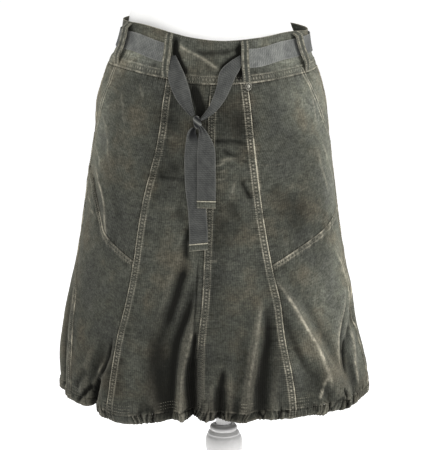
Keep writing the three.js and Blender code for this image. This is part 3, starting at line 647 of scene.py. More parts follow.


# Creases that wearing has set in the cloth: size (negative for a groove), how far it fades out on its left
# and on its right (below and above, for one that runs across), how pinched its line is from 0 to 1, how
# pale its line is painted, for abrasion and for painted highlight, how much painted shade lies along it, and
# places along its line. Some are mostly painted shadow, with only a slight groove.
CREASES = [
    # left hip, where the pocket's corner pushes the cloth out
    (4, 16, 30, 0.6, 0.9, 0, (-70, 797), (-61.5, 778), (-55.5, 757), (-51.8, 735), (-50, 712), (-48, 684)),
    (1.8, 6, 9, 0.6, 0.6, 0, (-77, 833), (-68.2, 814), (-62.8, 804), (-60.5, 790)),
    (-1.5, 9, 9, 0, 0, 0.35, (-74, 778), (-66, 762), (-61, 738), (-56, 712)),
    (1, 3, 3, 0.6, 0.6, 0, (-74.8, 742), (-66, 731)),
    (1, 3, 3, 0.6, 0.6, 0, (-68, 725), (-60, 715)),
    (1, 3, 3, 0.6, 0.5, 0, (-59, 723), (-55, 708)),
    (1.2, 8, 12, 0.2, 0.3, 0, (-49.5, 912), (-45.5, 887), (-43.5, 862)),
    (1.5, 8, 12, 0.3, 0.3, 0, (-64.8, 872), (-60, 856), (-56.2, 834), (-53.2, 800)),
    (0.8, 6, 8, 0.2, 0.2, 0, (-38, 925), (-32.5, 903)),
    # right hip and pocket
    (1.6, 6, 4, 0.5, 0.35, 0, (62.5, 941), (63, 920), (64.8, 881), (65.8, 855)),
    (1.5, 7, 7, 0.4, 0.4, 0, (64, 820), (67.5, 789), (72.2, 752)),
    (1.5, 6, 6, 0.4, 0.4, 0, (71, 834), (76, 802), (84, 763)),
    (0.5, 3, 3, 0.5, 0.15, 0, (25.2, 808), (31.8, 807), (39, 807)),
    (-1.2, 26, 28, 0, 0, 0.3, (29, 782), (37.8, 753), (43.2, 729), (48, 698)),
    (1, 20, 20, 0, 0.1, 0, (34.5, 712), (38, 680)),
    # the front gores, where sitting has creased them across
    (-1.6, 9, 5, 0.3, 0, 0.5, (3, 845), (11.5, 845.5), (20, 842)),
    (-1.4, 8, 5, 0.3, 0, 0.45, (8, 832), (15, 821), (22, 812)),
    (1.5, 9, 6, 0.3, 0.3, 0, (6, 814), (13.2, 820), (21, 817)),
    (1, 3, 3, 0.5, 0.35, 0, (5, 807), (10, 813)),
    (1, 3, 3, 0.5, 0.35, 0, (5, 798), (10, 801)),
    (1, 3, 3, 0.5, 0.3, 0, (5, 787), (10, 789)),
    (-2, 9, 7, 0.2, 0, 0.6, (17, 788), (21.8, 756)),
    (1.2, 14, 12, 0, 0.35, 0, (12, 756), (14.4, 786)),
    (-1, 13, 13, 0, 0, 0.35, (11.5, 754), (15, 730)),
    (-1, 14, 14, 0, 0, 0.45, (-12.5, 742), (-7.5, 724)),
    (-2, 20, 20, 0, 0, 0.35, (-11, 808), (-22, 788)),
    (-0.8, 5, 5, 0.2, 0, 0.3, (-27, 789), (-9, 787)),
    (1, 12, 12, 0, 0.12, 0, (-23, 742), (-12, 744)),
    (-1, 16, 16, 0, 0, 0.3, (-20, 880), (-12, 862)),
    (1, 10, 10, 0, 0.2, 0, (-24, 850), (-12, 846)),
    (0.8, 2.5, 2.5, 0.5, 0.45, 0, (1.8, 663), (6.5, 665)),
    (0.3, 4, 4, 0.5, 1.5, 0, (23.9, 850), (25.1, 800), (26.2, 762)),
    # painted shadow beside the long tail's end, over a slight groove
    (-2, 11, 9, 0, 0, 0.7, (-5.6, 722), (-7, 690), (-6.6, 662)),
    (-1.5, 3, 3, 0.4, 0, 0.6, (-1.6, 672), (-2.4, 604), (-3, 548)),
    # the folds that hang down to the casing
    (-3.5, 17, 14, 0.1, 0, 0.9, (-6, 665), (-8.5, 636), (-10, 615), (-12, 590), (-14, 555)),
    (-3.6, 17, 8, 0.4, 0, 0.8, (-2.6, 640), (-5.2, 583), (-8.8, 536), (-10.5, 496), (-12, 440), (-12.6, 396)),
    (-1.5, 18, 16, 0, 0, 0.8, (-13, 585), (-16.2, 533), (-17.4, 505), (-17, 473), (-16, 400)),
    (3.2, 9, 5, 0.5, 0.3, 0, (-2.6, 584), (-3.4, 550), (-5.8, 512), (-7.4, 490), (-8.6, 450), (-8.8, 400)),
    (-3, 5, 5, 0, 0, 1.2, (-2, 556), (-2.8, 527), (-3.8, 500)),
    (-3, 15, 13, 0, 0, 1.7, (-3.4, 522), (-4.2, 492), (-4.8, 468), (-4.8, 440), (-4.6, 392)),
    (-3, 6, 7, 0, 0, 0.8, (7.8, 500), (6.6, 478), (5.2, 450), (4.6, 392)),
    (-3, 14, 13, 0, 0, 0.7, (6.4, 474), (5.2, 448), (4.6, 392)),
    (2.4, 12, 6, 0.4, 0.4, 0, (24.2, 608), (22.6, 578), (21.2, 543), (19, 514), (16.4, 477), (14.8, 430)),
    (-2.2, 8, 18, 0.1, 0, 0.4, (25.5, 600), (26, 563), (25.6, 537), (22.8, 509), (19.6, 470), (20, 396)),
    (5, 10, 30, 0.7, 1.3, 0, (31, 634), (36.8, 595), (41.2, 562), (45.6, 529), (49, 482), (51, 455)),
    (-1.4, 10, 12, 0.2, 0, 0.1, (31.5, 600), (34.8, 561), (37.5, 526), (39.8, 499), (43, 470)),
    (2.5, 6, 8, 0.5, 1.2, 0, (49.6, 484), (47, 462), (44.4, 440)),
    (0, 12, 14, 0, 0, 0.3, (29.5, 575), (28.5, 510), (26, 465)),
    (4, 24, 7, 0.6, 1.0, 0, (75, 600), (69.5, 574), (64.4, 553), (60.4, 531), (58, 505), (57, 478)),
    (-2.5, 4, 13, 0.4, 0, 0.3, (72, 580), (68, 560), (64, 541), (62, 520), (61, 492)),
    (3, 10, 10, 0.3, 0.9, 0, (79, 555), (74, 521), (70.6, 484), (71.4, 445)),
    (-3, 6, 6, 0, 0, 0.4, (68, 528), (63.8, 501), (60.6, 476)),
    (-5, 3.5, 3.5, 0.4, 0, 0.9, (56.4, 458), (58.4, 438), (60, 400)),
    (2.5, 4, 5, 0.6, 1.1, 0, (77, 660), (81, 617), (82.5, 582)),
    (3, 6, 6, 0.5, 1.1, 0, (71, 668), (76, 641), (77.8, 611), (77, 572)),
    (-4, 8, 5, 0.2, 0, 0.8, (-36.4, 536), (-37.8, 504), (-40.2, 484), (-43, 470)),
    (3, 7, 7, 0.3, 0.3, 0, (-41, 494), (-46, 467), (-49.4, 446)),
    (-12, 10, 9, 0, 0, 1.5, (-44.5, 466), (-47.4, 442), (-49, 419), (-51, 396)),
    (-4, 6, 6, 0, 0, 0.9, (-49, 452), (-53, 436), (-57, 418)),
    (-3, 11, 11, 0, 0, 0.4, (-50.5, 480), (-55, 459), (-59, 440)),
    # the waistband, pulled in by the tie; the last four are nearly black painted shadow beside and above the
    # strands and the knot, over only a slight dip
    (2.6, 14, 6, 0.6, 0.55, 0, (-19.8, 993), (-16.2, 980), (-10.2, 973), (-2.8, 965), (3.2, 955), (9, 944)),
    (-1.6, 8, 7, 0.1, 0, 0.45, (-10, 973), (1.5, 971.5), (11.8, 974), (18.5, 980)),
    (-0.4, 9, 9, 0, 0, 1.7, (-20.6, 999), (-19, 972), (-15, 956), (-9.6, 938)),
    (-0.4, 9, 9, 0, 0, 1.7, (19.4, 990), (18, 968), (12.5, 958), (8, 947)),
    (-0.4, 8, 8, 0, 0, 1.7, (21.8, 970), (19.4, 950), (17, 932)),
    (-0.4, 13, 13, 0, 0, 1.7, (-7.5, 932), (-3.9, 908), (-1.8, 893), (-1.6, 874)),
]


def creases(relief):
    turned = around(relief.angle)
    for size, left, right, pinch, pale, dark, *line in CREASES:
        line = np.array(line, float)
        (low_angle, low_height), (high_angle, high_height) = line.min(0), line.max(0)
        reach = max(left, right)
        near = (relief.height > low_height - reach) & (relief.height < high_height + reach)
        near &= (turned > low_angle - reach / 2) & (turned < high_angle + reach / 2)
        if not near.any():
            continue
        scale, best = relief.scale[near], np.full(near.sum(), 1e9)
        side, share = np.zeros(near.sum()), np.zeros(near.sum())
        steps = len(line) - 1
        for k in range(steps):
            ahead = (line[k + 1, 0] - line[k, 0]) * scale, line[k + 1, 1] - line[k, 1]
            place = (turned[near] - line[k, 0]) * scale, relief.height[near] - line[k, 1]
            along = place[0] * ahead[0] + place[1] * ahead[1]
            t = np.clip(along / (ahead[0] ** 2 + ahead[1] ** 2), 0, 1)
            off = np.hypot(place[0] - t * ahead[0], place[1] - t * ahead[1])
            nearer = off < best
            best = np.where(nearer, off, best)
            side = np.where(nearer, ahead[0] * place[1] - ahead[1] * place[0], side)
            share = np.where(nearer, (k + t) / steps, share)
        u = np.clip(best / np.where(side > 0, right, left), 0, 1)
        ends = rise(share, -0.05, 0.25) * (1 - rise(share, 0.8, 1.08))
        shape = mix(1 - rise(u, 0, 1), (1 - u) ** 2.2, pinch) * ends
        patchiness = 0.7 + 0.6 * wander(relief.height[near] / 6, turned[near] / 2, 8)
        wear = 0.6 * pale * hump(best, 3.4) * ends * patchiness
        relief.add(near, lift=size * shape, wear=wear, hollow=dark * shape)


def relief_of(angle, height):
    relief = Relief(angle, height)
    for part in (slack, long_seams, cross_seams, pocket_edges, hem_gathers, creases, fading):
        part(relief)
    return relief


# ---- meshes ---------------------------------------------------------------------------------------------
def make_piece(name, points, faces, look, slot=None, flat=None, replaces=(), fields=None, sharp=50):
    """A mesh piece from points in mm, riding on the frame, with its flat places as UVs in metres."""
    mesh = bpy.data.meshes.new(name)
    mesh.from_pydata((points * MM).tolist(), [], faces)
    mesh.shade_smooth()
    mesh.set_sharp_from_angle(angle=math.radians(sharp))
    if flat is not None:
        corners = np.zeros(len(mesh.loops), np.int32)
        mesh.loops.foreach_get("vertex_index", corners)
        layer = mesh.uv_layers.new(name="flat")
        layer.data.foreach_set("uv", (flat[corners] * MM).astype(np.float32).ravel())
    for field, values in (fields or {}).items():
        attribute = mesh.attributes.new(field, "FLOAT", "POINT")
        attribute.data.foreach_set("value", values.astype(np.float32).ravel())
    mesh.materials.append(look)
    piece = bpy.data.objects.new(f"{name}_{FINISH[slot]}" if replaces else name, mesh)
    bpy.context.scene.collection.objects.link(piece)
    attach(piece, "root")
    if replaces:
        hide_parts(*replaces)
    return piece


def shell_faces(rows, columns):
    """Faces of a closed wall between two grids; rows go down and columns towards +X on the front."""
    at = np.arange(rows * columns).reshape(rows, columns)
    skin = rows * columns
    a, b, c, d = at[:-1, :-1], at[1:, :-1], at[1:, 1:], at[:-1, 1:]
    outer = np.stack([a, b, c, d], -1).reshape(-1, 4)
    inner = skin + np.stack([a, d, c, b], -1).reshape(-1, 4)
    rim = np.concatenate([at[:-1, 0], at[-1, :-1], at[:0:-1, -1], at[0, :0:-1]])
    after = np.roll(rim, -1)
    edge = np.stack([after, rim, skin + rim, skin + after], -1)
    return np.concatenate([outer, inner, edge]).tolist()


def shell(name, outer, inner, look, flat, fields=None, **options):
    rows, columns = outer.shape[:2]
    both = {key: np.concatenate([value.ravel()] * 2) for key, value in (fields or {}).items()}
    points = np.concatenate([outer.reshape(-1, 3), inner.reshape(-1, 3)])
    flat = np.concatenate([flat.reshape(-1, 2)] * 2)
    return make_piece(name, points, shell_faces(rows, columns), look, flat=flat, fields=both, **options)


def flat_places(points):
    """Where each grid point lies in the flat cut, with its rows centred so that the wales run straight."""
    steps = np.linalg.norm(np.diff(points, axis=1), axis=-1)
    across = np.concatenate([np.zeros((len(points), 1)), np.cumsum(steps, 1)], 1)
    across -= across[:, -1:] / 2
    drops = np.linalg.norm(np.diff(points, axis=0), axis=-1).mean(1)
    down = np.concatenate([[0], np.cumsum(drops)])
    return np.stack([across, np.broadcast_to(-down[:, None], across.shape)], -1)


def blurred(values, rows, columns):
    """A grid of values averaged over a window of rows and columns."""
    for axis, reach in ((0, rows), (1, columns)):
        reach = min(reach, values.shape[axis] // 2 - 1)
        if reach < 1:
            continue
        padding = [(0, 0), (0, 0)]
        padding[axis] = (reach + 1, reach)
        total = np.cumsum(np.pad(values, padding, mode="edge"), axis)
        high = np.take(total, range(2 * reach + 1, total.shape[axis]), axis)
        low = np.take(total, range(total.shape[axis] - 2 * reach - 1), axis)
        values = (high - low) / (2 * reach + 1)
    return values


def cloth_piece(name, angle, height, step):
    """A corduroy piece from its grid of places: a closed wall with folds, seams, creases and abraded pile,
    its small ridges painted paler for abrasion and painted highlight, and its small and broad troughs given
    painted shade.
    """
    relief, folds = relief_of(angle, height), fold_depth(angle, height)
    base, out = section_point(angle, height), outward(angle, height)
    form = folds + relief.lift
    reach = max(2, round(SMALL / step))
    fine = form - blurred(form, reach, reach)
    broad = form - blurred(form, 3 * reach, 3 * reach)
    # small ridges are painted paler, for abrasion and for painted highlight; small and broad troughs get
    # painted shade
    wear = relief.wear + 0.16 * np.clip(fine / 1.5, 0, 1)
    hollow = relief.hollow + 0.3 * np.clip(-fine / 1.5, 0, 1) + 0.45 * np.clip(-broad / 6, 0, 1)
    fields = {"wear": np.clip(wear, 0, 1.3), "hollow": np.clip(hollow, 0, 1.2), "fade": relief.fade}
    inner, outer, smooth = (base + out * lift[..., None] for lift in (form, form + CLOTH, folds))
    flat = flat_places(smooth)
    shell(name, outer, inner, CORDUROY, flat, fields, slot="corduroy", replaces=[name])


# ---- panels ---------------------------------------------------------------------------------------------
def mesh_rows(hip, step):
    """How many rows of the mesh lie above and below a hip height."""
    return HIP_SHARE * round((SEAT_HEIGHT - hip) / HIP_SHARE / step), round((hip - CASING_HEIGHT) / step)


def seam_line(name, hip, rows):
    """Places down a seam, one for each mesh row: even steps to the hip row, then even steps to the casing."""
    angle_at = seam_angle(name)
    start, end = waist_seam(angle_at(SEAT_HEIGHT)), casing_seam(angle_at(CASING_HEIGHT))
    above, below = np.linspace(start, hip, rows[0] + 1), np.linspace(hip, end, rows[1] + 1)
    heights = np.concatenate([above, below[1:]])
    return np.stack([angle_at(heights), heights], -1)


def side_line(name, pocket, hip, rows):
    """A side seam's rows also meet the pocket's lower end."""
    line, upper = seam_line(name, hip, rows), rows[0]
    stop = upper * POCKET_SHARE // HIP_SHARE
    foot = pocket["height"][0]
    line[: stop + 1, 1] = np.linspace(line[0, 1], foot, stop + 1)
    line[stop : upper + 1, 1] = np.linspace(foot, hip, upper - stop + 1)
    line[: upper + 1, 0] = seam_angle(name)(line[: upper + 1, 1])
    return line


def opening_line(pocket, upper):
    """A pocket opening's places, on the rows of the side seam that it runs into."""
    stop = upper * POCKET_SHARE // HIP_SHARE
    heights = np.linspace(pocket["height"][-1], pocket["height"][0], stop + 1)
    line = np.stack([read(pocket, heights, "angle"), heights], -1)
    line[0, 1] = waist_seam(line[0, 0])
    return line


def eased(count, ease=0.45):
    """Shares from 0 to 1 that lie closer together at both ends, where the seams are."""
    s = np.linspace(0, 1, count + 1)
    return s - ease * np.sin(2 * np.pi * s) / (2 * np.pi)


def panel_grid(left, right, shares, top, bottom):
    """A panel's grid: its side edges are given, and its top and bottom follow a height or a seam."""
    rows = len(left) - 1

    def edge(curve, start, end):
        angle = mix(start[0], end[0], shares)
        if isinstance(curve, dict):
            places = mix(curve["angle"][0], curve["angle"][-1], shares)
            return np.stack([places, read(curve, places, "height")], -1)
        return np.stack([angle, curve(angle)], -1)

    upper, lower = edge(top, left[0], right[0]), edge(bottom, left[rows], right[rows])
    s = shares[None, :, None]
    t = np.linspace(0, 1, rows + 1)[:, None, None]
    upper_line = mix(left[0], right[0], shares[:, None])[None]
    lower_line = mix(left[rows], right[rows], shares[:, None])[None]
    grid = mix(left[:, None], right[:, None], s)
    grid = grid + (1 - t) * (upper[None] - upper_line) + t * (lower[None] - lower_line)
    return trimmed(grid)


def trimmed(grid):
    """The grid with half the gap between sewn edges taken off each edge."""
    grid = grid.copy()
    scale = per_degree(grid[..., 0], grid[..., 1])
    grid[:, 0, 0] += SEWN / 2 / scale[:, 0]
    grid[:, -1, 0] -= SEWN / 2 / scale[:, -1]
    grid[0, :, 1] -= SEWN / 2
    grid[-1, :, 1] += SEWN / 2
    return grid


def skirt_panels():
    # the hip tables run from the lower angle, so the left one starts at the side seam
    side_hip_left, princess_hip_left = HIP_LEFT["height"][0], HIP_LEFT["height"][-1]
    princess_hip_right, side_hip_right = HIP_RIGHT["height"][0], HIP_RIGHT["height"][-1]
    rows, coarse = mesh_rows(HIP_LEFT["height"].min(), FINE), mesh_rows(BACK_HIP_HEIGHT, PLAIN)
    upper = rows[0]
    stop = upper * POCKET_SHARE // HIP_SHARE
    centre = seam_line("centre", princess_hip_left, rows)
    princess_left = seam_line("princess_left", princess_hip_left, rows)
    princess_right = seam_line("princess_right", princess_hip_right, rows)
    side_left = side_line("side_left", POCKET_LEFT, side_hip_left, rows)
    side_right = side_line("side_right", POCKET_RIGHT, side_hip_right, rows)
    open_left, open_right = opening_line(POCKET_LEFT, upper), opening_line(POCKET_RIGHT, upper)
    outer_left = np.concatenate([open_left, side_left[stop + 1 : upper + 1]])
    outer_right = np.concatenate([open_right, side_right[stop + 1 : upper + 1]])
    back_left, back_right, back = (
        seam_line(name, BACK_HIP_HEIGHT, coarse) for name in ("back_left", "back_right", "back")
    )
    back_side_left = side_line("side_left", POCKET_LEFT, side_hip_left, coarse)
    back_side_right = side_line("side_right", POCKET_RIGHT, side_hip_right, coarse)
    turn = np.array([360, 0])
    front, wide, narrow, hidden = eased(72), eased(84), eased(20), eased(48, 0.8)

    def foot(side):
        """A pocket facing's lower edge lies level with the opening's end."""
        return lambda angle: angle * 0 + side[stop, 1]

    # each panel's left and right edges, the shares of its columns, and its top and bottom
    panels = {
        "front_gore_left": (princess_left, centre, front, waist_seam, casing_seam),
        "front_gore_right": (centre, princess_right, front, waist_seam, casing_seam),
        "hip_panel_left": (outer_left, princess_left[: upper + 1], wide, waist_seam, HIP_LEFT),
        "hip_panel_right": (princess_right[: upper + 1], outer_right, wide, waist_seam, HIP_RIGHT),
        "side_gore_left": (side_left[upper:], princess_left[upper:], wide, HIP_LEFT, casing_seam),
        "side_gore_right": (princess_right[upper:], side_right[upper:], wide, HIP_RIGHT, casing_seam),
        "pocket_facing_left": (side_left[: stop + 1], open_left, narrow, waist_seam, foot(side_left)),
        "pocket_facing_right": (open_right, side_right[: stop + 1], narrow, waist_seam, foot(side_right)),
        "back_side_right": (back_side_right, back_right, hidden, waist_seam, casing_seam),
        "back_gore_right": (back_right, back, hidden, waist_seam, casing_seam),
        "back_gore_left": (back, back_left + turn, hidden, waist_seam, casing_seam),
        "back_side_left": (back_left + turn, back_side_left + turn, hidden, waist_seam, casing_seam),
    }
    for name, edges in panels.items():
        grid = panel_grid(*edges)
        cloth_piece(name, grid[..., 0], grid[..., 1], PLAIN if name.startswith("back") else FINE)


def band_grid(start, end, columns, rows, upper, lower):
    angle = np.linspace(start, end, columns + 1)
    t = np.linspace(0, 1, rows + 1)[:, None]
    heights = mix(upper(angle)[None], lower(angle)[None], t)
    return trimmed(np.stack([np.broadcast_to(angle, heights.shape), heights], -1))


def scalloped_hem(angle):
    return hem_edge(angle) + 1.3 - 1.6 * gather_wave(angle)


def bands():
    sides = "side_left", "side_right"
    waist = [float(seam_angle(side)(SEAT_HEIGHT)) for side in sides]
    casing = [float(seam_angle(side)(CASING_HEIGHT)) for side in sides]
    grids = {
        "waistband_front": band_grid(*waist, 320, 48, top_edge, waist_seam),
        "waistband_back": band_grid(waist[1], waist[0] + 360, 150, 26, top_edge, waist_seam),
        "hem_casing_front": band_grid(*casing, 520, 18, casing_seam, scalloped_hem),
        "hem_casing_back": band_grid(casing[1], casing[0] + 360, 420, 14, casing_seam, scalloped_hem),
    }
    for name, grid in grids.items():
        cloth_piece(name, grid[..., 0], grid[..., 1], PLAIN if name == "waistband_back" else FINE)


# ---- stitches -------------------------------------------------------------------------------------------
def cloth_place(angle, height, raised):
    """Places over the finished cloth's face."""
    lift = relief_of(angle, height).lift
    total = fold_depth(angle, height) + lift + CLOTH + raised
    return section_point(angle, height) + outward(angle, height) * total[..., None]


def stitch_row(angle, height):
    """Middle lines of the stitches along a row: three places for each, with its ends sunk in the pile."""
    path = section_point(angle, height)
    run = np.concatenate([[0], np.cumsum(np.linalg.norm(np.diff(path, axis=0), axis=-1))])
    count = int(run[-1] // STITCH)
    at = STITCH * (np.arange(count)[:, None] + 0.1) + STITCH_LENGTH * np.array([[0, 0.5, 1]])
    places = np.interp(at, run, angle), np.interp(at, run, height)
    return cloth_place(*places, np.array([[-0.45, 0.2, -0.45]]))


def stitches(name, rows):
    """One mesh of small closed tubes for the stitches of some rows."""
    middle = np.concatenate([stitch_row(*row) for row in rows])
    along = middle[:, -1] - middle[:, 0]
    along /= np.linalg.norm(along, axis=-1, keepdims=True)
    side = np.cross(along, [0, 0, 1]) + np.cross(along, [1e-3, 0, 0])
    side /= np.linalg.norm(side, axis=-1, keepdims=True)
    up = np.cross(side, along)
    turn = np.arange(THREAD_SIDES) * math.tau / THREAD_SIDES
    ring = side[:, None] * np.cos(turn)[:, None] + up[:, None] * np.sin(turn)[:, None]
    width = THREAD * np.array([0.6, 1, 0.6])
    points = middle[:, :, None] + width[:, None, None] * ring[:, None]
    at = np.arange(3 * THREAD_SIDES).reshape(3, THREAD_SIDES)
    after = np.roll(at, -1, 1)
    tube = np.stack([at[:-1], after[:-1], after[1:], at[1:]], -1).reshape(-1, 4)
    starts = at.size * np.arange(len(middle))
    faces = (tube[None] + starts[:, None, None]).reshape(-1, 4).tolist()
    faces += (at[0, ::-1][None] + starts[:, None]).tolist() + (at[-1][None] + starts[:, None]).tolist()
    return make_piece(name, points.reshape(-1, 3), faces, COTTON_THREAD, slot="corduroy", sharp=80)


def beside(seam, side, away, heights):
    angle = seam_angle(seam)(heights)
    return angle + side * away / per_degree(angle, heights), heights


def topstitching():
    """The rows of thread, by name."""
    threads = {}
    second = second_row(ALLOWANCE_WIDTH)
    for seam, (side, _) in LONG_SEAMS.items():
        foot = casing_seam(seam_angle(seam)(CASING_HEIGHT)) + 2
        heights = np.linspace(float(waist_seam(seam_angle(seam)(SEAT_HEIGHT))) - 2, float(foot), 300)
        threads[seam] = [beside(seam, side, away, heights) for away in (FIRST_ROW, second)]
    left, right = float(seam_angle("side_left")(SEAT_HEIGHT)), float(seam_angle("side_right")(SEAT_HEIGHT))
    fronts, backs = np.linspace(left + 1, right - 1, 300), np.linspace(right + 1, left + 359, 300)
    for name, angle in (("front", fronts), ("back", backs)):
        lines = [waist_seam(angle) + away for away in (FIRST_ROW, second_row(WAIST_WIDTH))]
        lines.append(top_edge(angle) - EDGE_ROW)
        threads["waist_" + name] = [(angle, line) for line in lines]
    # round the hem, the rows show where the casing lies flat
    angle = np.linspace(-60, 70, 400)
    flat = np.split(angle, np.flatnonzero(np.diff(gathering(angle) < 0.45)) + 1)
    flat = [part for part in flat if gathering(part[len(part) // 2]) < 0.45 and len(part) > 4]
    threads["hem"] = [(part, casing_seam(part) + up) for part in flat for up in CASING_ROWS]
    for name, rows in (("hip_left", HIP_LEFT), ("hip_right", HIP_RIGHT)):
        angle = np.linspace(rows["angle"][0] + 1, rows["angle"][-1] - 1, 200)
        line = read(rows, angle, "height")
        slope = np.gradient(line, angle) / per_degree(angle, line)
        lean = np.sqrt(1 + slope**2)
        threads[name] = [(angle, line - away * lean) for away in (FIRST_ROW, second_row(HIP_WIDTH))]
    for name, rows, side in (("pocket_left", POCKET_LEFT, 1), ("pocket_right", POCKET_RIGHT, -1)):
        heights = np.linspace(rows["height"][-1] - 4, rows["height"][0] + 2, 100)
        angle = read(rows, heights, "angle")
        run = side / per_degree(angle, heights)
        threads[name] = [(angle + away * run, heights) for away in POCKET_ROWS]
    return {name: stitches("stitches_" + name, rows) for name, rows in threads.items()}


# ---- tape -----------------------------------------------------------------------------------------------
def strip(name, stations, thickness, look, slot, rows=70, columns=14, bend=None, slant=None, fields=None):
    """A strip from stations down its middle line; bend(t, x) lifts it, x from -1 to 1 across."""
    t = np.linspace(0, 1, rows + 1)
    step = t * (len(stations["step"]) - 1)
    angle, height, width, lift = (read(stations, step, key) for key in ("angle", "height", "width", "lift"))
    middle = on_garment(angle, height, lift)
    tangent = np.gradient(middle, axis=0)
    out = outward(angle, height)
    across = np.cross(tangent, out)
    across /= np.linalg.norm(across, axis=-1, keepdims=True)
    x = np.linspace(-1, 1, columns + 1)
    shape = np.zeros((rows + 1, columns + 1)) + (bend(t[:, None], x[None]) if bend else 0)
    inner = middle[:, None] - across[:, None] * (x[None, :, None] * width[:, None, None] / 2)
    inner = inner + out[:, None] * shape[..., None]
    if slant:
        inner[..., 2] += slant(t)[:, None] * x[None]
    rounded = thickness * (1 - 0.35 * np.abs(x) ** 8)
    outer = inner + out[:, None] * rounded[None, :, None]
    length = np.concatenate([[0], np.cumsum(np.linalg.norm(np.diff(middle, axis=0), axis=-1))])
    flat = np.stack(np.broadcast_arrays(x[None] * TAPE_WIDTH / 2, -length[:, None]), -1)
    values = {"wear": 0.25 * rise(np.abs(x), 0.85, 1)[None], "hollow": 0.0, "fade": 0.0}
    values.update(fields(t[:, None], x[None], length[:, None]) if fields else {})
    values = {key: np.broadcast_to(value, shape.shape) for key, value in values.items()}
    return shell(name, outer, inner, look, flat, values, slot=slot, replaces=[name])


def belt_stretch(name, start, end, steps, fade):
    angle = np.linspace(start, end, steps + 1)
    x = np.linspace(-1, 1, 15)[:, None]
    heights = belt_height(angle)[None] - x * TAPE_WIDTH / 2
    angles = np.broadcast_to(angle, heights.shape)
    ripple = 0.25 * np.sin(angles * 0.9) * (1 - x**2) + 0.12 * np.sin(angles * 2.3 + 1)
    inner = on_garment(angles, heights, BELT_LIFT + ripple - ripple.min())
    outer = on_garment(angles, heights, BELT_LIFT + ripple - ripple.min() + TAPE)
    length = np.concatenate([[0], np.cumsum(np.linalg.norm(np.diff(outer[7], axis=0), axis=-1))])
    flat = np.stack(np.broadcast_arrays(x * TAPE_WIDTH / 2, length[None]), -1)
    edge = np.broadcast_to(0.4 * rise(np.abs(x), 0.85, 1), heights.shape)
    fields = {"wear": edge, "hollow": 0 * edge, "fade": fade + 0 * edge}
    return shell(name, outer, inner, TWILL, flat, fields, slot="twill_tape", replaces=[name])


def tip_stations(tail):
    end = {key: tail[key][-1] for key in ("angle", "height", "lift")}
    lift = end["lift"] - (TIP_WALL - TAPE) / 2
    return table(
        TAPE_COLUMNS,
        (0, end["angle"], end["height"] - GAP, TAPE_WIDTH + 1, lift),
        (1, end["angle"], end["height"] - GAP - TIP_LENGTH, TAPE_WIDTH + 1, lift),
    )


def belt():
    half = GAP / 2 / float(per_degree(np.array(-72.0), np.array(float(SEAT_HEIGHT))))
    # the last number paints each stretch paler as painted light, the right one most and the back least
    belt_stretch("belt_left", -72 + half, -22.8, 70, 0.95)
    belt_stretch("belt_right", 22.8, 72 - half, 70, 1.2)
    belt_stretch("belt_back", 72 + half, 288 - half, 150, 0.4)

    def strand_fold(t, x):
        return 1.6 * rise(t, 0.1, 0.6) * (0.7 - np.abs(x + 0.15)) + 1.2 * rise(t, 0.6, 1) * np.cos(5 * x)

    def shaded(t, x, run):
        # painted shade in the strand's folds near the knot and where it comes from under its loop, and the
        # whole strand painted a little darker
        sunk = 0.5 * rise(t, 0.6, 1) * np.abs(np.sin(4 * x + 1)) + 0.5 * (1 - rise(t, 0, 0.12))
        return {"hollow": sunk, "fade": -0.15}

    def rolled(t, x):
        """The long tail comes out of the knot rolled round a trough along its middle."""
        return 4.5 * (1 - rise(t, 0.05, 0.36)) * x**2

    def rolled_shade(t, x, run):
        # painted shade inside the roll, painted highlight on its outer edge, and the tail painted darker
        # below
        inside = rise(x, -0.75, -0.35) * (1 - rise(t, 0.12, 0.33))
        return {"hollow": 1.1 * inside, "fade": 0.35 * (1 - inside) * (1 - rise(t, 0, 0.4)) - 0.25}

    def fanned(t, x):
        return 1.2 * (1 - rise(t, 0.05, 0.4)) * np.cos(7 * x)

    def fanned_shade(t, x, run):
        # painted shade in the fanned pleats and along the left edge, and the whole tail painted a little
        # darker
        pleats = 0.35 * (1 - rise(t, 0.05, 0.45)) * (0.5 - 0.5 * np.cos(7 * x))
        return {"hollow": pleats + 0.3 * rise(-x, 0.85, 1), "fade": -0.2}

    def tilted(t):
        return 1.9 * rise(t, 0.75, 1)

    def bound(t, x, run):
        """The turned end is stitched along its top and its sides: the top row and the lower edge are painted
        paler, a band of painted shade lies below the row, and the tip is painted paler all over.
        """
        rows = hump(t - 0.1, 0.1)
        return {"wear": 1.1 * rows + 0.6 * rise(t, 0.9, 1), "hollow": 0.4 * hump(t - 0.3, 0.12), "fade": 0.3}

    strip("strand_left", STRAND_LEFT, TAPE, TWILL, "twill_tape", bend=strand_fold, fields=shaded)
    strip("strand_right", STRAND_RIGHT, TAPE, TWILL, "twill_tape", bend=strand_fold, fields=shaded)
    long_tail = {"rows": 110, "bend": rolled, "slant": tilted, "fields": rolled_shade}
    strip("tail_long", TAIL_LONG, TAPE, TWILL, "twill_tape", **long_tail)
    strip("tail_short", TAIL_SHORT, TAPE, TWILL, "twill_tape", rows=80, bend=fanned, fields=fanned_shade)
    tilt = {"slant": lambda t: 1.9 + 0 * t}
    strip("tip_long", tip_stations(TAIL_LONG), TIP_WALL, CORDUROY, "corduroy", rows=16, fields=bound, **tilt)
    strip("tip_short", tip_stations(TAIL_SHORT), TIP_WALL, CORDUROY, "corduroy", rows=16, fields=bound)


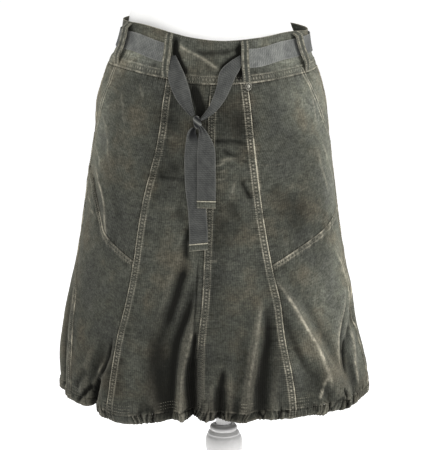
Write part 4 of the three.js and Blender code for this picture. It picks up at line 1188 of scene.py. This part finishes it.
def loops():
    def stitched(t, x, run):
        """Two rows of stitches with puckers between them, and abraded edges: the rows, the pucker crests and
        the edges are painted paler, for abrasion and for painted highlight, painted shade runs down the
        middle and between the puckers, and the loop is painted paler all over.
        """
        rope = puckers(run, TICK)
        rows = hump(np.abs(x) - 0.62, 0.3)
        edges = rise(np.abs(x), 0.85, 1) * (0.7 + 0.5 * wander(run / 7, 3))
        wear = 0.7 * rows * (0.5 + 0.6 * rope) + 0.55 * edges
        dark = 0.5 * hump(x, 0.25) + 0.45 * rows * (1 - rope)
        return {"wear": wear, "hollow": dark, "fade": 0.35}

    def quilted(t, x):
        return 0.35 * hump(np.abs(x) - 0.62, 0.35) - 0.35 * hump(x, 0.3)

    for name, (top, bottom, width, stand) in LOOPS.items():
        upper, lower = float(top_edge(top)) - 2, float(waist_seam(bottom)) + 2
        middle = float(belt_height((top + bottom) / 2))
        reach = TAPE_WIDTH / 2 + 1
        places = [
            (upper, OVER_CLOTH),
            (mix(upper, middle + reach, 0.5), stand - 1),
            (middle + reach, stand),
            (middle - reach, stand),
            (mix(lower, middle - reach, 0.5), stand - 1),
            (lower, OVER_CLOTH),
        ]
        stations = [
            (step, mix(bottom, top, (height - lower) / (upper - lower)), height, width, lift)
            for step, (height, lift) in enumerate(places)
        ]
        look = {"rows": 60, "columns": 20, "bend": quilted, "fields": stitched}
        strip(name, table(TAPE_COLUMNS, *stations), CLOTH, CORDUROY, "corduroy", **look)


# ---- turned and lofted pieces ---------------------------------------------------------------------------
def stacked(name, rings, look, slot, sharp=50, fields=None):
    """A closed stack of rings, listed from the top down."""
    count = rings.shape[1]
    at = np.arange(rings.shape[0] * count).reshape(-1, count)
    a, b = at[:-1], np.roll(at, -1, 1)[:-1]
    c, d = np.roll(at, -1, 1)[1:], at[1:]
    faces = np.stack([a, d, c, b], -1).reshape(-1, 4).tolist()
    faces += [at[0].tolist(), at[-1, ::-1].tolist()]
    options = {"slot": slot, "replaces": [name], "sharp": sharp, "fields": fields}
    return make_piece(name, rings.reshape(-1, 3), faces, look, **options)


def smooth_profile(profile, steps=6):
    """More places on a smooth curve through a turned profile's points."""
    rows = table("step radius height", *[(i, r, h) for i, (r, h) in enumerate(profile)])
    step = np.linspace(0, len(profile) - 1, steps * (len(profile) - 1) + 1)
    return read(rows, step, "radius"), read(rows, step, "height")


def turned(profile, sides, place):
    radius, height = smooth_profile(profile)
    turn = np.linspace(0, 2 * np.pi, sides, endpoint=False)
    x, y = radius[:, None] * np.cos(turn), radius[:, None] * np.sin(turn)
    return place(x, y, np.broadcast_to(height[:, None], x.shape))


def form():
    def upright(x, y, z):
        return np.stack([x, y, z], -1)

    def leaning(x, y, z):
        return upright(x - LEAN * z, y, z)

    def on_neck(x, y, z):
        return upright(x - LEAN * NECK_TOP, y, z + NECK_TOP + 0.3)

    turnings = {
        "form_pole": (POLE_PROFILE, 64, leaning),
        "form_base": (BASE_PROFILE, 128, upright),
        "form_neck_cap": (CAP_PROFILE, 64, on_neck),
    }
    for name, turning in turnings.items():
        stacked(name, turned(*turning), PAINTED, "painted_wood")
    heights = np.linspace(NECK_TOP, TORSO_FOOT, 171)[:, None]
    turn = np.linspace(0, 2 * np.pi, 96, endpoint=False)[None]
    seat = np.exp(-(((heights - SEAT_HEIGHT) / 26) ** 2))
    centre = mix(-LEAN * heights, read(SECTIONS, heights, "centre"), seat)

    def size(column):
        plain = read(TORSO, heights, column)
        return mix(plain, read(SECTIONS, heights, column) - SEAT_CLEARANCE, seat)

    def power(value):
        return np.sign(value) * np.abs(value) ** (2 / read(TORSO, heights, "round"))

    depth = np.where(np.cos(turn) > 0, size("front"), size("back"))
    x = centre + size("half") * power(np.sin(turn))
    y = -depth * power(np.cos(turn))
    stacked("form_torso", upright(x, y, np.broadcast_to(heights, x.shape))[:, ::-1], COVER, "form_cover")


def knot():
    """Tape wrapped slantwise round the two ends."""
    turn = np.linspace(0, 2 * np.pi, 60, endpoint=False)[None]
    up = np.linspace(0.5, -0.5, 41)[:, None]
    wraps = 0.5 + 0.5 * np.cos(9 * up + 2.5 * np.cos(turn) - 0.6)
    radius = np.sqrt(np.clip(1 - (1.88 * up) ** 2, 0.02, 1)) * (0.84 + 0.16 * wraps)
    foot = np.array(float(KNOT["angle"])), np.array(float(KNOT["height"]))
    centre = on_garment(*foot, OVER_CLOTH + KNOT["depth"] / 2 + GAP)
    x, y = radius * np.cos(turn) * KNOT["width"] / 2, radius * np.sin(turn) * KNOT["depth"] / 2
    leaning = x - up * KNOT["width"] / 4
    rings = np.stack([leaning, y, np.broadcast_to(up * KNOT["tall"], x.shape)], -1) + centre
    # painted shade between the wraps and painted highlight on their crests
    fields = {"hollow": 1.2 * (1 - rise(wraps, 0.05, 0.6)), "wear": 0.5 * rise(wraps, 0.8, 1)}
    stacked("knot", rings, TWILL, "twill_tape", fields=fields)


def stud():
    thick = STUD["thick"]
    profile = [
        (0.18, 0.85), (0.42, 0.8), (0.48, 0.6), (0.52, 0.45), (0.74, 0.45), (0.8, 0.75),
        (0.9, 0.95), (1, 0.7), (1, 0.3), (0.97, 0),
    ]
    angle, height = np.array(float(STUD["angle"])), np.array(float(STUD["height"]))
    foot, out = on_garment(angle, height, OVER_CLOTH), outward(angle, height)
    across = np.cross([0, 0, 1], out)
    across /= np.linalg.norm(across)
    up = np.cross(out, across)

    def place(x, y, z):
        flat = x[..., None] * across * STUD["width"] / 2 + y[..., None] * up * STUD["tall"] / 2
        return foot + flat + z[..., None] * out * thick

    radius = smooth_profile(profile)[0]
    # painted shade in the recess ring and round the stud's side
    sunk = hump(radius - 0.62, 0.16) + 0.8 * rise(radius, 0.95, 1)
    fields = {"hollow": np.repeat(sunk, 40)}
    stacked("hip_stud", turned(profile, 40, place), STEEL, "stud_metal", fields=fields)


# ---- materials ------------------------------------------------------------------------------------------
def linear(colour):
    """An sRGB hex colour as linear values."""
    parts = [int(colour[i : i + 2], 16) / 255 for i in (1, 3, 5)]
    return [p / 12.92 if p <= 0.04045 else ((p + 0.055) / 1.055) ** 2.4 for p in parts] + [1.0]


def node(tree, kind, inputs=None, **settings):
    """Adds a node with its settings; an input is a value or another node's output."""
    made = tree.nodes.new("ShaderNode" + kind)
    for key, value in settings.items():
        setattr(made, key, value)
    for key, value in (inputs or {}).items():
        if isinstance(value, bpy.types.NodeSocket):
            tree.links.new(value, made.inputs[key])
        else:
            made.inputs[key].default_value = value
    return made


def new_material(name):
    """An empty material, its node tree, and places on the object in metres."""
    material = bpy.data.materials.new(name)
    material.use_nodes = True
    tree = material.node_tree
    tree.nodes.clear()
    return material, tree, node(tree, "TexCoord").outputs["Object"]


def noise_scale(size):
    """A noise texture's scale for patches this many mm across."""
    return 1 / (size * MM)


def wave_scale(spacing):
    """A wave texture's scale for bands this many mm apart, straight along an axis."""
    return math.tau / 20 / (spacing * MM)


def shading(tree, patterns):
    """How much patterns together darken or lighten, each mapped from its own range to its own shares."""
    value = 1.0
    for pattern, low, high, dark, light in patterns:
        share = node(tree, "MapRange", {0: pattern, 1: low, 2: high, 3: dark, 4: light}).outputs[0]
        value = node(tree, "Math", {0: value, 1: share}, operation="MULTIPLY").outputs[0]
    return value


def cloth_fields(tree):
    """A piece's flat places, how much it is painted paler for abraded pile and painted highlight, how much
    painted shade it has, and how far it is painted paler or darker for fading and painted light.
    """
    fields = [node(tree, "Attribute", attribute_name=name) for name in ("wear", "hollow", "fade")]
    return [node(tree, "UVMap", uv_map="flat").outputs[0]] + [field.outputs["Fac"] for field in fields]


def surface(tree, inputs):
    shader = node(tree, "BsdfPrincipled", inputs)
    node(tree, "OutputMaterial", {"Surface": shader.outputs[0]})


def washed_corduroy():
    """Cotton needlecord, garment-dyed and stonewashed: matt pile that pales where it rubs, with painted
    highlight on its ridges and puckers, painted shade in its creases, seams and folds, and patches of painted
    light and shade.
    """
    material, tree, places = new_material("washed_cotton_corduroy")
    flat, wear_and_highlight_share, sunk, fade = cloth_fields(tree)
    # patches some 60 mm across, clouds of 12 mm and a grain of 3 mm, which is as fine as shows
    patches = {"Vector": places, "Scale": noise_scale(62.5), "Detail": 3.0, "Roughness": 0.6}
    clouds = {"Vector": places, "Scale": noise_scale(11.765), "Detail": 5.0, "Roughness": 0.7}
    grain = {"Vector": places, "Scale": noise_scale(3.03), "Detail": 2.0}
    # fine creases left across the wales by washing, some 2 mm by 12 mm
    drawn = (noise_scale(12.5), noise_scale(2.083), 1.0)
    washed = {"Vector": node(tree, "Mapping", {"Vector": flat, "Scale": drawn}).outputs[0], "Scale": 1.0}
    patches, clouds, grain, washed = (
        node(tree, "TexNoise", inputs).outputs[0] for inputs in (patches, clouds, grain, washed)
    )
    # needlecord wales of 1.6 mm, drawn at 3.3 mm so that they show
    wales = {"Vector": flat, "Scale": wave_scale(3.3), "Distortion": 0.25, "Detail": 1.0}
    wales = node(tree, "TexWave", wales, bands_direction="X").outputs["Fac"]
    dye = node(tree, "ValToRGB", {"Fac": patches})
    first, last = dye.color_ramp.elements
    first.position, first.color = 0.36, linear("#3f403b")
    last.position, last.color = 0.66, linear("#4d4a40")
    dye.color_ramp.elements.new(0.5).color = linear("#44453e")
    # the wales and the washing creases darken and lighten the colour as painted shade of their ribs and
    # creases, and the last field paints the cloth paler or darker for fading and for painted light and shade
    patterns = [
        (clouds, 0.3, 0.7, 0.72, 1.28),
        (grain, 0.3, 0.7, 0.7, 1.3),
        (wales, 0.0, 1.0, 0.88, 1.12),
        (washed, 0.35, 0.65, 0.85, 1.15),
        (fade, -1.0, 3.2, 0.2, 3.6),
    ]
    value = shading(tree, patterns)
    cloth = node(tree, "VectorMath", {0: dye.outputs[0], "Scale": value}, operation="SCALE").outputs[0]
    # the pile rubs off unevenly, and its pale ground shows; the same pale mix paints highlight on ridges,
    # puckers and gathers
    uneven = node(tree, "MapRange", {0: grain, 1: 0.3, 2: 0.7, 3: 0.7, 4: 1.2}).outputs[0]
    pale_mix = node(tree, "Math", {0: wear_and_highlight_share, 1: uneven}, operation="MULTIPLY").outputs[0]
    pale_mix = node(tree, "Math", {0: pale_mix, 1: 1.3}, operation="POWER", use_clamp=True).outputs[0]
    pale = node(tree, "Mix", {0: pale_mix, 6: cloth, 7: linear("#b5af9d")}, data_type="RGBA").outputs[2]
    # painted shade: the near-black mix darkens creases, seams, folds, gathers and the shadows beside the belt
    sunk = node(tree, "Math", {0: sunk, 1: 0.9}, operation="MULTIPLY", use_clamp=True).outputs[0]
    colour = node(tree, "Mix", {0: sunk, 6: pale, 7: linear("#151512")}, data_type="RGBA").outputs[2]
    ribs = {"Height": wales, "Distance": 0.0006, "Strength": 0.6}
    creased = {"Height": washed, "Distance": 0.0009, "Strength": 0.5}
    pile = {"Height": clouds, "Distance": 0.0014, "Strength": 0.6}
    creased["Normal"] = node(tree, "Bump", ribs).outputs[0]
    pile["Normal"] = node(tree, "Bump", creased).outputs[0]
    finish = {
        "Base Color": colour,
        "Roughness": 0.95,
        "Specular IOR Level": 0.1,
        "Sheen Weight": 0.3,
        "Sheen Roughness": 0.35,
        "Sheen Tint": linear("#c9c6b6"),
        "Normal": node(tree, "Bump", pile).outputs[0],
    }
    surface(tree, finish)
    return material


def twill_tape():
    """Woven cotton twill tape, matt and greyer than the cloth, its ribs painted lighter and darker as painted
    shade where they cross, with painted shade in its folds and painted light and shade over whole stretches.
    """
    material, tree, places = new_material("cotton_twill_tape")
    flat, wear_and_highlight_share, sunk, fade = cloth_fields(tree)
    # faded in patches some 17 mm across
    patches = {"Vector": places, "Scale": noise_scale(16.667), "Detail": 4.0, "Roughness": 0.7}
    patches = node(tree, "TexNoise", patches).outputs[0]
    # twill lines 1.2 mm apart and picks of 0.8 mm, drawn at 3.4 mm and 3.1 mm so that they show; bands on
    # a diagonal come out root 2 wider
    lines = {"Vector": flat, "Scale": wave_scale(3.4 / math.sqrt(2)), "Distortion": 0.8, "Detail": 1.0}
    picks = {"Vector": flat, "Scale": wave_scale(3.1), "Distortion": 0.6, "Detail": 1.0}
    lines = node(tree, "TexWave", lines, bands_direction="DIAGONAL").outputs["Fac"]
    picks = node(tree, "TexWave", picks, bands_direction="Y").outputs["Fac"]
    tone = node(tree, "MapRange", {0: patches, 1: 0.3, 2: 0.7, 3: 0.0, 4: 1.0}).outputs[0]
    dye = {0: tone, 6: linear("#363736"), 7: linear("#525350")}
    dye = node(tree, "Mix", dye, data_type="RGBA").outputs[2]
    # the twill lines and picks darken and lighten the colour as painted shade of the ribs; the middle field
    # paints the tape paler or darker as painted light and shade
    patterns = [(lines, 0.0, 1.0, 0.92, 1.08), (fade, -1.0, 2.0, 0.0, 3.0), (picks, 0.0, 1.0, 0.82, 1.18)]
    value = shading(tree, patterns)
    tape = node(tree, "VectorMath", {0: dye, "Scale": value}, operation="SCALE").outputs[0]
    # the pale mix paints abraded edges and painted highlight on the knot's wraps; the near-black mix paints
    # shade in folds, pleats, the rolled tail and between the wraps
    pale = node(tree, "Mix", {0: wear_and_highlight_share, 6: tape, 7: linear("#85857f")}, data_type="RGBA").outputs[2]
    colour = node(tree, "Mix", {0: sunk, 6: pale, 7: linear("#121314")}, data_type="RGBA").outputs[2]
    finish = {
        "Base Color": colour,
        "Roughness": 0.85,
        "Specular IOR Level": 0.2,
        "Sheen Weight": 0.1,
        "Normal": node(tree, "Bump", {"Height": lines, "Distance": 0.0004, "Strength": 0.5}).outputs[0],
    }
    surface(tree, finish)
    return material


def plain_finish(name, size, detail, colours, relief, finish):
    """A finish of two colours in an uneven pattern of a size in mm; its relief is in mm, with a strength."""
    material, tree, places = new_material(name)
    pattern = {"Vector": places, "Scale": noise_scale(size), "Detail": detail}
    pattern = node(tree, "TexNoise", pattern).outputs[0]
    colour = {0: pattern, 6: linear(colours[0]), 7: linear(colours[1])}
    colour = node(tree, "Mix", colour, data_type="RGBA").outputs[2]
    if relief:
        bump = {"Height": pattern, "Distance": relief[0] * MM, "Strength": relief[1]}
        finish = {**finish, "Normal": node(tree, "Bump", bump).outputs[0]}
    surface(tree, {"Base Color": colour, **finish})
    return material


def cotton_thread():
    """Mercerised cotton thread, paler than the cloth it has faded with. Its own twist of 0.4 mm is too fine
    to show; its uneven fading every 8 mm does show."""
    finish = {"Roughness": 0.6, "Sheen Weight": 0.1}
    return plain_finish("mercerised_cotton_thread", 8, 2.0, ("#4e4c42", "#908c7b"), (0.2, 0.3), finish)


def shaded_plated_steel():
    """Pressed steel, plated and abraded in spots of 1.4 mm, with painted shade in its recess and round its
    side.
    """
    material, tree, places = new_material("plated_steel_with_painted_shade")
    patchiness = node(tree, "TexNoise", {"Vector": places, "Scale": noise_scale(1.4286), "Detail": 3.0}).outputs[0]
    pale_mix = {0: patchiness, 6: linear("#77756c"), 7: linear("#b9b7ac")}
    pale_mix = node(tree, "Mix", pale_mix, data_type="RGBA").outputs[2]
    sunk = node(tree, "Attribute", attribute_name="hollow").outputs["Fac"]
    # painted shade: the near-black mix darkens the recess and the side
    colour = node(tree, "Mix", {0: sunk, 6: pale_mix, 7: linear("#1c1b19")}, data_type="RGBA").outputs[2]
    surface(tree, {"Base Color": colour, "Metallic": 1.0, "Roughness": 0.42})
    return material


def form_jersey():
    """Bleached cotton jersey stretched over the torso, its loops of 1.1 mm just roughening it."""
    colours = "#f1f0ee", "#fbfbfa"
    return plain_finish("bleached_cotton_jersey", 1.111, 2.0, colours, (0.4, 0.3), {"Roughness": 0.9})


def painted_wood():
    """Turned beech under satin off-white paint, with brush marks some 6 mm apart."""
    finish = {"Roughness": 0.38, "Coat Weight": 0.2}
    return plain_finish("satin_painted_beech", 6.25, 4.0, ("#c9c8c6", "#d8d7d6"), (0.3, 0.25), finish)


def studio_paper():
    """White background paper, lit so evenly that it has no horizon."""
    finish = {"Roughness": 0.9, "Emission Color": linear("#ffffff"), "Emission Strength": 0.64}
    return plain_finish("white_studio_paper", 333.333, 2.0, ("#fafafa", "#ffffff"), None, finish)


CORDUROY = washed_corduroy()
TWILL = twill_tape()
COTTON_THREAD = cotton_thread()
STEEL = shaded_plated_steel()
COVER = form_jersey()
PAINTED = painted_wood()

# ---- building -------------------------------------------------------------------------------------------
skirt_panels()
bands()
threads = topstitching()
belt()
knot()
stud()
loops()
form()


# ---- cloth as it was cut --------------------------------------------------------------------------------
# Flat width and length in mm, the share of that rectangle that the cut fills, how the piece is held, what it
# hangs from or lies on, and the rows of stitches it carries.
SHEETS = {
    "front_gore_left": (185, 535, 0.6, "hung", "waistband_front", "princess_left"),
    "front_gore_right": (165, 515, 0.63, "hung", "waistband_front", "centre princess_right"),
    "hip_panel_left": (190, 290, 0.57, "hung", "waistband_front", "pocket_left"),
    "hip_panel_right": (180, 285, 0.74, "hung", "waistband_front", "pocket_right"),
    "side_gore_left": (190, 365, 0.48, "hung", "hip_panel_left", "hip_left"),
    "side_gore_right": (185, 305, 0.77, "hung", "hip_panel_right", "hip_right"),
    "pocket_facing_left": (35, 118, 0.64, "hung", "waistband_front", ""),
    "pocket_facing_right": (57, 134, 0.55, "hung", "waistband_front", ""),
    "back_side_right": (205, 520, 0.82, "hung", "waistband_back", "side_right back_right"),
    "back_gore_right": (180, 520, 0.67, "hung", "waistband_back", "back"),
    "back_gore_left": (180, 525, 0.67, "hung", "waistband_back", "back_left"),
    "back_side_left": (270, 530, 0.73, "hung", "waistband_back", "side_left"),
    "waistband_front": (430, 72, 0.85, "stretched", "form_torso", "waist_front"),
    "waistband_back": (440, 72, 0.85, "stretched", "form_torso", "waist_back"),
    "hem_casing_front": (780, 23, 0.95, "gathered", "front_gore_left front_gore_right", "hem"),
    "hem_casing_back": (940, 21, 0.95, "gathered", "back_gore_left back_gore_right", ""),
    "belt_left": (27.5, 108, 1, "laid", "waistband_front", ""),
    "belt_right": (27.5, 111, 1, "laid", "waistband_front", ""),
    "belt_back": (27.5, 464, 1, "laid", "waistband_back", ""),
    "strand_left": (27.5, 92, 0.95, "folded", "knot", ""),
    "strand_right": (27.5, 104, 0.95, "folded", "knot", ""),
    "tail_long": (27.5, 174, 1, "hung", "knot", ""),
    "tail_short": (27.5, 112, 1, "hung", "knot", ""),
    "tip_long": (28.5, 11, 1, "folded", "tail_long", ""),
    "tip_short": (28.5, 11, 1, "folded", "tail_short", ""),
    "loop_front_left": (12, 66, 1, "folded", "waistband_front", ""),
    "loop_front_right": (11.5, 62, 1, "folded", "waistband_front", ""),
    "loop_side_left": (15, 68, 1, "folded", "waistband_front", ""),
    "loop_side_right": (15, 66, 1, "folded", "waistband_front", ""),
    "loop_back_left": (15, 66, 1, "folded", "waistband_back", ""),
    "loop_back_right": (15, 60, 1, "folded", "waistband_back", ""),
}


def declare_cloth(threads):
    for name, (width, length, share, held, under, rows) in SHEETS.items():
        extras = [threads[row] for row in rows.split()]
        if name == "strand_left":
            extras.append(bpy.data.objects["knot_tape"])


declare_cloth(threads)


# ---- stage, light and camera ----------------------------------------------------------------------------
def studio_floor():
    mesh = bpy.data.meshes.new("studio_floor")
    reach = 14.0
    corners = [(-reach, -reach, 0), (reach, -reach, 0), (reach, reach, 0), (-reach, reach, 0)]
    mesh.from_pydata(corners, [], [(0, 1, 2, 3)])
    mesh.materials.append(studio_paper())
    floor = bpy.data.objects.new("studio_floor", mesh)
    bpy.context.scene.collection.objects.link(floor)


def softbox(name, place, target, size, power):
    lamp = bpy.data.lights.new(name, "AREA")
    lamp.shape, lamp.size, lamp.size_y = "RECTANGLE", size[0], size[1]
    lamp.energy = power
    light = bpy.data.objects.new(name, lamp)
    light.location = place
    light.rotation_mode = "QUATERNION"
    light.rotation_quaternion = (Vector(target) - Vector(place)).to_track_quat("-Z", "Y")
    bpy.context.scene.collection.objects.link(light)


def lighting():
    middle = (-0.03, 0, 0.7)
    softbox("softbox_left", (-2.7, -1.6, 2.3), middle, (1.4, 1.8), 42)
    softbox("softbox_right", (2.8, -1.4, 2.2), middle, (1.4, 1.8), 86)
    softbox("softbox_top", (0, -0.3, 2.4), (-0.03, 0, 1.0), (1.2, 1.2), 8)
    world = bpy.data.worlds.new("studio")
    world.use_nodes = True
    background = world.node_tree.nodes["Background"]
    background.inputs[0].default_value = (1, 1, 1, 1)
    background.inputs[1].default_value = 0.42
    bpy.context.scene.world = world
    bpy.context.scene.view_settings.view_transform = "Standard"


def camera():
    target, distance = Vector((-0.031, 0, 0.688)), 2.66
    azimuth, elevation = math.radians(5), math.radians(13.3)
    back = Vector(
        (
            math.sin(azimuth) * math.cos(elevation),
            -math.cos(azimuth) * math.cos(elevation),
            math.sin(elevation),
        )
    )
    data = bpy.data.cameras.new("camera")
    data.lens = 135.5
    eye = bpy.data.objects.new("camera", data)
    eye.location = target + back * distance
    eye.rotation_mode = "QUATERNION"
    eye.rotation_quaternion = (-back).to_track_quat("-Z", "Y")
    bpy.context.scene.collection.objects.link(eye)
    bpy.context.scene.camera = eye


studio_floor()
lighting()
camera()
